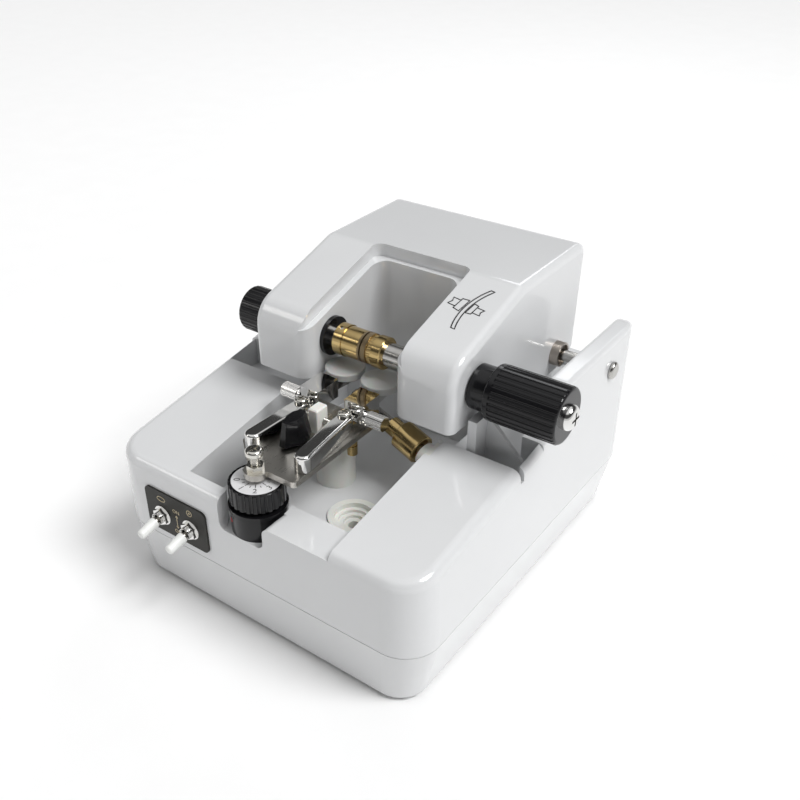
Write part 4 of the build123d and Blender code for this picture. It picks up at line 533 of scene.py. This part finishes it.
class Palette:
    """Every finish of the machine, built once."""

    def __init__(self) -> None:
        """Build the finishes."""
        brass = {"colour": (0.62, 0.47, 0.22), "stain": (0.42, 0.3, 0.13), "roughness": 0.17, "spread": 0.12}
        steel = {"colour": (0.6, 0.59, 0.57), "stain": (0.42, 0.41, 0.39), "roughness": 0.2, "spread": 0.12}
        finishes = {
            "white_shell": Plastic("white_shell", (0.7, 0.708, 0.716), (0.665, 0.672, 0.68), 0.14, 0.04,
                                   coat=0.5, skin_per_mm=0.5, skin_strength=0.03),
            "rubber_black": Plastic("rubber_black", (0.012, 0.012, 0.013), (0.025, 0.025, 0.025), 0.6, 0.15,
                                    skin_per_mm=3.0, skin_strength=0.15, gloss=0.25),
            "black_plastic": Plastic("black_plastic", (0.004, 0.004, 0.005), (0.01, 0.01, 0.011), 0.16, 0.06,
                                     coat=0.1, skin_per_mm=0.8, gloss=0.3),
            "panel_black": Plastic("panel_black", (0.018, 0.017, 0.014), (0.03, 0.029, 0.025), 0.42, 0.1,
                                   skin_per_mm=4.0, gloss=0.25),
            "dial_white": Plastic("dial_white", (0.75, 0.75, 0.76), (0.66, 0.66, 0.67), 0.32, 0.08),
            "red_paint": Plastic("red_paint", (0.62, 0.03, 0.03), (0.4, 0.02, 0.02), 0.35, 0.1),
            "nylon_white": Plastic("nylon_white", (0.8, 0.8, 0.76), (0.72, 0.72, 0.68), 0.38, 0.1, glow=0.15),
            "nylon_clear": Plastic("nylon_clear", (0.72, 0.73, 0.72), (0.62, 0.63, 0.61), 0.33, 0.1, glow=0.2,
                                   clear=0.35),
            "board_green": Plastic("board_green", (0.02, 0.16, 0.06), (0.03, 0.25, 0.1), 0.35, 0.1, coat=0.3),
            "bright_steel": Metal("bright_steel", **steel, lay=Lay.TURNED_ABOUT_X, marks_per_mm=3.0),
            "zinc_steel": Metal("zinc_steel", (0.74, 0.73, 0.7), (0.58, 0.56, 0.5), 0.16, 0.1),
            "plate_steel": Metal("plate_steel", (0.63, 0.61, 0.57), (0.48, 0.46, 0.42), 0.3, 0.14,
                                 Lay.BRUSHED_ALONG_Y, 5.0, 0.1),
            "chrome": Metal("chrome", (0.82, 0.82, 0.81), (0.74, 0.73, 0.71), 0.07, 0.05,
                            marks_per_mm=0.3, marks_strength=0.02),
            "brass": Metal("brass", **brass, lay=Lay.TURNED_ABOUT_X),
            "motor_metal": Metal("motor_metal", (0.5, 0.51, 0.52), (0.4, 0.4, 0.41), 0.35, 0.1),
            "abrasive": Metal("abrasive", (0.36, 0.35, 0.34), (0.2, 0.2, 0.19), 0.5, 0.2, marks_per_mm=6.0,
                              marks_strength=0.5),
            "bearing_bronze": Metal("bearing_bronze", (0.5, 0.46, 0.42), (0.34, 0.3, 0.26), 0.32, 0.12,
                                    Lay.TURNED_ABOUT_X),
            "core_metal": CoilAndCore("core_metal", centre_y_mm=55.0, core_half_mm=10.0),
        }
        self.by_slot = {slot: finish.build() for slot, finish in finishes.items()}
        knurl = KnurledRing("pad_knurl", centre_y_mm=-9.75, centre_z_mm=110.6).build()
        self.by_node = {
            "left_pad": knurl,
            "right_pad": knurl,
            "wheel_chuck": Metal("chuck_brass", **brass, lay=Lay.TURNED_ABOUT_WHEEL).build(),
            "brass_studs": Metal("stud_brass", **brass, lay=Lay.TURNED_ABOUT_Z).build(),
            "wheel_shaft": Metal("wheel_shaft_steel", **steel, lay=Lay.TURNED_ABOUT_WHEEL).build(),
            "dial_plunger": Metal("plunger_steel", **steel, lay=Lay.TURNED_ABOUT_Z).build(),
            "left_toggle": SleevedLever("left_lever", (-55.5, -106.05, 44.8)).build(),
            "right_toggle": SleevedLever("right_lever", (-36.8, -106.05, 44.8)).build(),
        }
        self.print_gold = Plastic("print_gold", (0.7, 0.6, 0.4), (0.55, 0.46, 0.3), 0.45).build()
        self.print_black = Plastic("print_black", (0.02, 0.02, 0.022), (0.03, 0.03, 0.03), 0.45).build()

    def dress_frame(self) -> None:
        """Give every CAD node its finish."""
        for entry in frame["record"]["subparts"]:
            node = entry["node"]
            finish = self.by_node.get(node, self.by_slot[entry["material_slot"]])
            piece = frame["nodes"][node]
            if not piece.material_slots:
                piece.data.materials.append(finish)
            for held in piece.material_slots:
                held.material = finish
            LOG.info("%s wears %s", node, finish.name)


@dataclass
class DepthDial:
    """Numbers and ticks on the dial's face, and the depth screw's thread."""

    palette: Palette
    first_angle_deg: float = 217.0
    step_deg: float = 45.0
    numbers: int = 8
    short_ticks: int = 2
    number_radius: float = 8.9
    number_height: float = 4.2
    tick_outer: float = 6.7
    tick_long: float = 2.6
    tick_short: float = 1.3
    tick_width: float = 0.34
    ink: float = 0.04
    nut_height: float = 3.0
    thread_radius: float = 2.0
    thread_wire: float = 0.22
    thread_pitch: float = 0.7
    thread_crests: int = 7

    def spoke(self, angle: float, length: float, outer: float, centre: Vector) -> bpy.types.Object:
        """One tick on the face.

        Args:
            angle: Where it lies round the face, in radians.
            length: Its length in millimetres.
            outer: Radius of its outer end.
            centre: Centre of the face's top.

        Returns:
            The tick.
        """
        tick = Bench.block((length, self.tick_width, self.ink), Vector((outer - length / 2, 0.0, 0.0)))
        Bench.bevel(tick, self.ink / 4, 1)
        tick.matrix_world = Matrix.Translation(centre * MM) @ Matrix.Rotation(angle, 4, "Z")
        return Bench.settle(tick)

    def scale(self) -> None:
        """Print the numbers and ticks on the face."""
        low, high = box_mm("dial_face")
        centre = Vector(((low.x + high.x) / 2, (low.y + high.y) / 2, high.z + self.ink / 4))
        marks = []
        for number in range(self.numbers):
            angle = math.radians(self.first_angle_deg + self.step_deg * number)
            marks.append(self.spoke(angle, self.tick_long, self.tick_outer, centre))
            for part in range(1, self.short_ticks):
                between = angle + math.radians(self.step_deg) * part / self.short_ticks
                marks.append(self.spoke(between, self.tick_short, self.tick_outer, centre))
            digit = Bench.lettering(str(number), self.number_height, self.ink)
            outwards = Vector((math.cos(angle), math.sin(angle), 0.0)) * self.number_radius
            turn = Matrix.Rotation(angle + math.pi / 2, 4, "Z")
            marks.append(Bench.carry(digit, Matrix.Translation(centre + outwards) @ turn))
        Bench.dress(Bench.join(marks, "dial_scale"), self.palette.print_black, "dial", "dial_white")

    def thread(self) -> None:
        """Cut the thread that shows on the depth screw, above its nut."""
        low, high = box_mm("depth_screw")
        plate_top = box_mm("guide_plate")[1].z
        first = plate_top + self.nut_height + self.thread_pitch
        start = Vector(((low.x + high.x) / 2, (low.y + high.y) / 2, first))
        crests = Bench.rings(self.thread_radius, self.thread_wire, self.thread_pitch, self.thread_crests,
                             start, (0.0, 0.0, 1.0))
        crests.name = "depth_screw_thread"
        Bench.dress(Bench.smooth(crests, 60.0), self.palette.by_slot["zinc_steel"], "guide", "zinc_steel")

    def build(self) -> None:
        """Add the dial's print and the screw's thread."""
        self.scale()
        self.thread()


@dataclass
class SwitchPanel:
    """Print on the switch panel and the threads of the two bushes."""

    palette: Palette
    ink: float = 0.06
    letter_height: float = 2.9
    middle_x: float = -46.1
    on_z: float = 50.6
    off_z: float = 38.6
    arrow_top: float = 48.4
    arrow_bottom: float = 41.0
    arrow_head: float = 1.1
    line: float = 0.35
    symbol_z: float = 54.2
    symbol_steps: int = 24
    switch_z: float = 44.8
    thread_radius: float = 2.98
    thread_wire: float = 0.17
    thread_pitch: float = 0.42

    def facing(self, x: float, z: float) -> Matrix:
        """Place and turn of a flat print on the panel's front at x and z."""
        front = box_mm("switch_panel")[0].y
        return Matrix.Translation(Vector((x, front - self.ink / 3, z))) @ Matrix.Rotation(math.pi / 2, 4, "X")

    def words(self) -> None:
        """Print ON and OFF, and the arrow between them."""
        marks = []
        for text, z in (("ON", self.on_z), ("OFF", self.off_z)):
            letters = Bench.lettering(text, self.letter_height, self.ink)
            marks.append(Bench.carry(letters, self.facing(self.middle_x, z)))
        half = (self.arrow_top - self.arrow_bottom) / 2
        middle = self.facing(self.middle_x, self.arrow_bottom + half)
        lines = [[(0.0, -half), (0.0, half)]]
        for end in (-half, half):
            barb = end - math.copysign(self.arrow_head, end)
            lines.append([(-self.arrow_head * 0.7, barb), (0.0, end), (self.arrow_head * 0.7, barb)])
        marks += [Bench.carry(Bench.stroke(line, self.line, False), middle) for line in lines]
        Bench.dress(Bench.join(marks, "switch_print"), self.palette.print_gold, "housing", "panel_black")

    def symbols(self) -> None:
        """Print an oval over one switch and a disc with a centre over the other."""
        left = sum(corner.x for corner in box_mm("left_toggle")) / 2
        right = sum(corner.x for corner in box_mm("right_toggle")) / 2
        turn = [math.tau * step / self.symbol_steps for step in range(self.symbol_steps)]
        shapes = [(left, 2.6, 1.3), (right, 1.6, 1.6), (right, 0.4, 0.4)]
        marks = []
        for x, half_x, half_z in shapes:
            outline = [(half_x * math.cos(a), half_z * math.sin(a)) for a in turn]
            marks.append(Bench.carry(Bench.stroke(outline, self.line, True), self.facing(x, self.symbol_z)))
        Bench.dress(Bench.join(marks, "switch_symbols"), self.palette.print_gold, "housing", "panel_black")

    def threads(self) -> None:
        """Cut the threads on the bushes, in front of their nuts."""
        nut_front = box_mm("switch_nuts")[0].y
        bush_front = box_mm("switch_bodies")[0].y
        count = int((nut_front - bush_front) / self.thread_pitch)
        for side in ("left", "right"):
            low, high = box_mm(f"{side}_toggle")
            start = Vector(((low.x + high.x) / 2, nut_front - self.thread_pitch / 2, self.switch_z))
            crests = Bench.rings(self.thread_radius, self.thread_wire, self.thread_pitch, count,
                                 start, (0.0, -1.0, 0.0))
            crests.name = f"{side}_bush_thread"
            Bench.dress(Bench.smooth(crests, 60.0), self.palette.by_slot["chrome"], "housing", "chrome")

    def build(self) -> None:
        """Add the panel's print and the bushes' threads."""
        self.words()
        self.symbols()
        self.threads()


@dataclass
class HeadMark:
    """Drawing of a lens between two clamps, on the slope of the right arm."""

    palette: Palette
    centre: Point = (40.0, 8.0, 136.76)
    slope_deg: float = 16.4
    turn_deg: float = -8.0
    line: float = 0.68
    lens_radius: float = 32.0
    lens_thickness: float = 2.1
    lens_half_angle_deg: float = 27.0
    steps: int = 16
    shaft_length: float = 4.2
    shaft_notch: float = 0.9
    shaft_share: float = 0.55
    cup_taper: float = 0.85

    def lens(self) -> list[tuple[float, float]]:
        """Outline of the curved lens, bulging to the left."""
        half = math.radians(self.lens_half_angle_deg)
        angles = [-half + 2 * half * step / self.steps for step in range(self.steps + 1)]
        radius, edge = self.lens_radius, self.lens_thickness / 2
        outer = [(-radius * (math.cos(a) - 1) - edge, radius * math.sin(a)) for a in angles]
        inner = [(x + self.lens_thickness, y) for x, y in reversed(outer)]
        return outer + inner

    def clamp(self, side: int, reach: float, half: float) -> list[list[tuple[float, float]]]:
        """Outlines of a clamp and its spindle.

        Args:
            side: -1 for the left one, 1 for the right one.
            reach: The clamp's length.
            half: Half the clamp's height.

        Returns:
            Its closed outlines.
        """
        near = side * (self.lens_thickness / 2 + self.line)
        far = near + side * reach
        shaft = far + side * self.shaft_length
        notch = shaft - side * self.shaft_notch
        thin = half * self.shaft_share
        back = half * self.cup_taper
        cup = [(near, -half), (near, half), (far, back), (far, -back)]
        spindle = [(far, -thin), (far, thin), (shaft, thin), (notch, 0.0), (shaft, -thin)]
        return [cup, spindle]

    def build(self) -> None:
        """Draw the outlines and lay them on the slope."""
        outlines = [self.lens()] + self.clamp(-1, 3.6, 4.1) + self.clamp(1, 2.6, 3.5)
        slope = Matrix.Rotation(math.radians(self.slope_deg), 4, "X")
        turn = Matrix.Rotation(math.radians(self.turn_deg), 4, "Z")
        place = Matrix.Translation(Vector(self.centre)) @ slope @ turn
        marks = [Bench.carry(Bench.stroke(outline, self.line, True), place) for outline in outlines]
        Bench.dress(Bench.join(marks, "lens_mark"), self.palette.print_black, "head", "white_shell")


@dataclass
class WheelChuck:
    """Socket set screw in the neck of the wheel's chuck."""

    palette: Palette
    radius: float = 1.05
    length: float = 1.7
    neck_radius: float = 4.6
    wheel_centre: Point = (-2.5, -16.4, 85.6)
    along: float = 26.5
    axis_direction: Point = (1.0, -0.2, -0.232)
    facing: Point = (0.0, 0.6, 0.8)
    sunk: float = 0.1
    sides: int = 24
    rim: float = 0.45
    socket_depth: float = 0.9

    def build(self) -> None:
        """Model the screw with its round socket."""
        axis = Vector(self.axis_direction).normalized()
        out = axis.cross(Vector(self.facing)).cross(axis).normalized()
        reach = self.neck_radius - self.length / 2 - self.sunk
        centre = Vector(self.wheel_centre) + axis * self.along + out * reach
        screw = Bench.cylinder(self.radius, self.length, centre, tuple(out), self.sides)
        Bench.pick(screw)
        heights = [face.center.dot(out) for face in screw.data.polygons]
        bpy.ops.object.mode_set(mode="EDIT")
        bpy.ops.mesh.select_mode(type="FACE")
        bpy.ops.mesh.select_all(action="DESELECT")
        bpy.ops.object.mode_set(mode="OBJECT")
        screw.data.polygons[heights.index(max(heights))].select = True
        bpy.ops.object.mode_set(mode="EDIT")
        bpy.ops.mesh.inset(thickness=self.rim * MM)
        inwards = tuple(-out * self.socket_depth * MM)
        bpy.ops.mesh.extrude_region_move(TRANSFORM_OT_translate={"value": inwards})
        bpy.ops.object.mode_set(mode="OBJECT")
        screw.name = "chuck_set_screw"
        Bench.dress(Bench.smooth(screw), self.palette.by_slot["black_plastic"], "wheel", "bright_steel")


@dataclass
class ReturnSprings:
    """Short springs between the white finger and the two arms."""

    palette: Palette
    wire: float = 0.28
    coil_radius: float = 1.25
    turns: int = 6
    height: float = 90.4
    finger_y: float = -48.0
    left_arm_x: float = -11.5
    right_arm_x: float = 4.3
    wire_sides: int = 8
    steps_a_turn: int = 20

    def spring(self, start_x: float, end_x: float, name: str) -> None:
        """Wind one spring between two walls.

        Args:
            start_x: Where it leaves the finger, in millimetres.
            end_x: Where it meets the arm.
            name: The spring's name.
        """
        Bench.clear()
        bpy.ops.mesh.primitive_circle_add(vertices=self.wire_sides, radius=self.wire * MM,
                                          fill_type="NGON", location=(self.coil_radius * MM, 0.0, 0.0),
                                          rotation=(math.pi / 2, 0.0, 0.0))
        piece = Bench.settle(bpy.context.active_object, name)
        length = abs(end_x - start_x) - 2 * self.wire
        wind = piece.modifiers.new("Screw", "SCREW")
        wind.steps = wind.render_steps = self.steps_a_turn
        wind.iterations = self.turns
        wind.screw_offset = length * MM / self.turns
        bpy.ops.object.modifier_apply(modifier=wind.name)
        bpy.ops.object.mode_set(mode="EDIT")
        bpy.ops.mesh.select_all(action="SELECT")
        bpy.ops.mesh.remove_doubles(threshold=0.001 * MM)
        bpy.ops.mesh.normals_make_consistent(inside=False)
        bpy.ops.object.mode_set(mode="OBJECT")
        side = math.copysign(1.0, end_x - start_x)
        piece.rotation_euler = Vector((side, 0.0, 0.0)).to_track_quat("Z", "Y").to_euler()
        piece.location = Vector((start_x + side * self.wire, self.finger_y, self.height)) * MM
        Bench.settle(piece)
        Bench.dress(Bench.smooth(piece, 60.0), self.palette.by_slot["zinc_steel"], "guide", "zinc_steel")

    def build(self) -> None:
        """Wind both springs."""
        low, high = box_mm("guide_wedge")
        self.spring(low.x, self.left_arm_x, "left_return_spring")
        self.spring(high.x, self.right_arm_x, "right_return_spring")


@dataclass
class InletPins:
    """Metal skins on the three pins of the mains inlet."""

    palette: Palette
    inlet_x: float = 45.0
    inlet_z: float = 47.0
    skin: float = 0.08
    tip_recess: float = 5.0
    depth: float = 11.0
    width: float = 2.0
    height: float = 4.0
    rounding: float = 0.4
    rounding_steps: int = 3
    offsets: tuple[tuple[float, float], ...] = ((-7.0, -1.5), (0.0, 2.0), (7.0, -1.5))

    def build(self) -> None:
        """Model the three pins with rounded tips."""
        tip = box_mm("top_shell")[1].y - self.tip_recess + self.skin
        size = (self.width + 2 * self.skin, self.depth, self.height + 2 * self.skin)
        pins = []
        for dx, dz in self.offsets:
            centre = Vector((self.inlet_x + dx, tip - self.depth / 2, self.inlet_z + dz))
            pins.append(Bench.bevel(Bench.block(size, centre), self.rounding, self.rounding_steps))
        Bench.dress(Bench.join(pins, "inlet_pins"), self.palette.by_slot["chrome"], "housing", "chrome")


@dataclass
class Studio:
    """Pale floor, soft lights and the camera."""

    floor_size: float = 8.0
    floor_z_mm: float = -2.5
    azimuth_deg: float = 37.47
    elevation_deg: float = 34.88
    roll_deg: float = -0.95
    distance_mm: float = 494.0
    target_mm: Point = (-15.32, -3.76, 43.86)
    lens_mm: float = 42.0
    shift: tuple[float, float] = (0.0547, 0.0589)
    key_strength: float = 2.4
    key_width_deg: float = 28.0
    key_direction: Point = (0.57, 0.1, 0.81)
    aim: Point = (0.0, 0.0, 0.06)
    sensor_mm: float = 36.0
    room_strength: float = 0.85
    room_shades: tuple[tuple[float, float], ...] = ((0.16, 0.75), (0.3, 0.08), (0.68, 0.06), (0.84, 0.95))

    def floor(self) -> None:
        """Lay the floor."""
        Bench.clear()
        bpy.ops.mesh.primitive_plane_add(size=self.floor_size, location=(0.0, 0.0, self.floor_z_mm * MM))
        floor = Bench.settle(bpy.context.active_object, "studio_floor")
        paper = Plastic("studio_paper", (0.93, 0.93, 0.93), (0.9, 0.9, 0.9), 0.7, 0.05)
        floor.data.materials.append(paper.build())

    def key(self) -> None:
        """Hang the wide key light, whose light falls evenly from the right and above."""
        light = bpy.data.lights.new("key", "SUN")
        light.energy = self.key_strength
        light.angle = math.radians(self.key_width_deg)
        lamp = bpy.data.objects.new("key", light)
        bpy.context.collection.objects.link(lamp)
        lamp.matrix_world = Vector(self.key_direction).to_track_quat("Z", "Y").to_matrix().to_4x4()

    def lamp(self, name: str, place: Point, size: float, power: float, colour: Colour) -> None:
        """Hang one soft lamp, aimed at the machine.

        Args:
            name: The lamp's name.
            place: Where it hangs, in metres.
            size: Its width in metres.
            power: Its power in watts.
            colour: Its colour.
        """
        light = bpy.data.lights.new(name, "AREA")
        light.shape = "SQUARE"
        light.size = size
        light.energy = power
        light.color = colour
        lamp = bpy.data.objects.new(name, light)
        bpy.context.collection.objects.link(lamp)
        aim = Vector(self.aim) - Vector(place)
        lamp.matrix_world = Matrix.Translation(place) @ aim.to_track_quat("-Z", "Y").to_matrix().to_4x4()

    def sky(self) -> None:
        """Light the room softly, with a dark band halfway up for the metals to mirror."""
        world = bpy.data.worlds.new("studio_room")
        bpy.context.scene.world = world
        world.use_nodes = True
        tree = world.node_tree
        place = tree.nodes.new("ShaderNodeTexCoord")
        split = tree.nodes.new("ShaderNodeSeparateXYZ")
        ramp = tree.nodes.new("ShaderNodeValToRGB")
        tree.links.new(place.outputs["Generated"], split.inputs[0])
        tree.links.new(split.outputs["Z"], ramp.inputs[0])
        stops = ramp.color_ramp.elements
        stops[0].position, stops[0].color = 0.0, (0.75, 0.75, 0.75, 1.0)
        stops[1].position, stops[1].color = 1.0, (1.0, 1.0, 1.0, 1.0)
        for position, shade in self.room_shades:
            stops.new(position).color = (shade, shade, shade, 1.0)
        background = tree.nodes["Background"]
        tree.links.new(ramp.outputs["Color"], background.inputs["Color"])
        background.inputs["Strength"].default_value = self.room_strength

    def camera(self) -> None:
        """Set up the camera at the photograph's angle."""
        azimuth, elevation = math.radians(self.azimuth_deg), math.radians(self.elevation_deg)
        roll = math.radians(self.roll_deg)
        back = Vector((math.sin(azimuth) * math.cos(elevation), -math.cos(azimuth) * math.cos(elevation),
                       math.sin(elevation)))
        right = Vector((0.0, 0.0, 1.0)).cross(back).normalized()
        up = back.cross(right)
        across = right * math.cos(roll) + up * math.sin(roll)
        upright = up * math.cos(roll) - right * math.sin(roll)
        data = bpy.data.cameras.new("camera")
        data.lens = self.lens_mm
        data.sensor_width = self.sensor_mm
        data.shift_x, data.shift_y = self.shift
        camera = bpy.data.objects.new("camera", data)
        bpy.context.collection.objects.link(camera)
        eye = (Vector(self.target_mm) + back * self.distance_mm) * MM
        camera.matrix_world = Matrix.Translation(eye) @ Matrix((across, upright, back)).transposed().to_4x4()
        bpy.context.scene.camera = camera

    def build(self) -> None:
        """Build the whole stage."""
        self.floor()
        self.key()
        self.lamp("fill", (-0.8, -0.7, 0.8), 0.3, 0.9, (1.0, 0.98, 0.95))
        self.lamp("rear", (-0.3, 1.0, 0.9), 0.4, 1.5, (0.97, 0.98, 1.0))
        self.sky()
        self.camera()
        bpy.context.scene.view_settings.view_transform = "Standard"


def main() -> None:
    """Dress the frame, add the pieces and set the stage."""
    logging.basicConfig(level=logging.INFO, format="%(name)s: %(message)s")
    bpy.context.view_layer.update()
    palette = Palette()
    palette.dress_frame()
    for part in (DepthDial(palette), SwitchPanel(palette), HeadMark(palette), WheelChuck(palette),
                 ReturnSprings(palette), InletPins(palette)):
        part.build()
    Studio().build()
    bpy.context.view_layer.update()


if __name__ == "__main__":
    main()
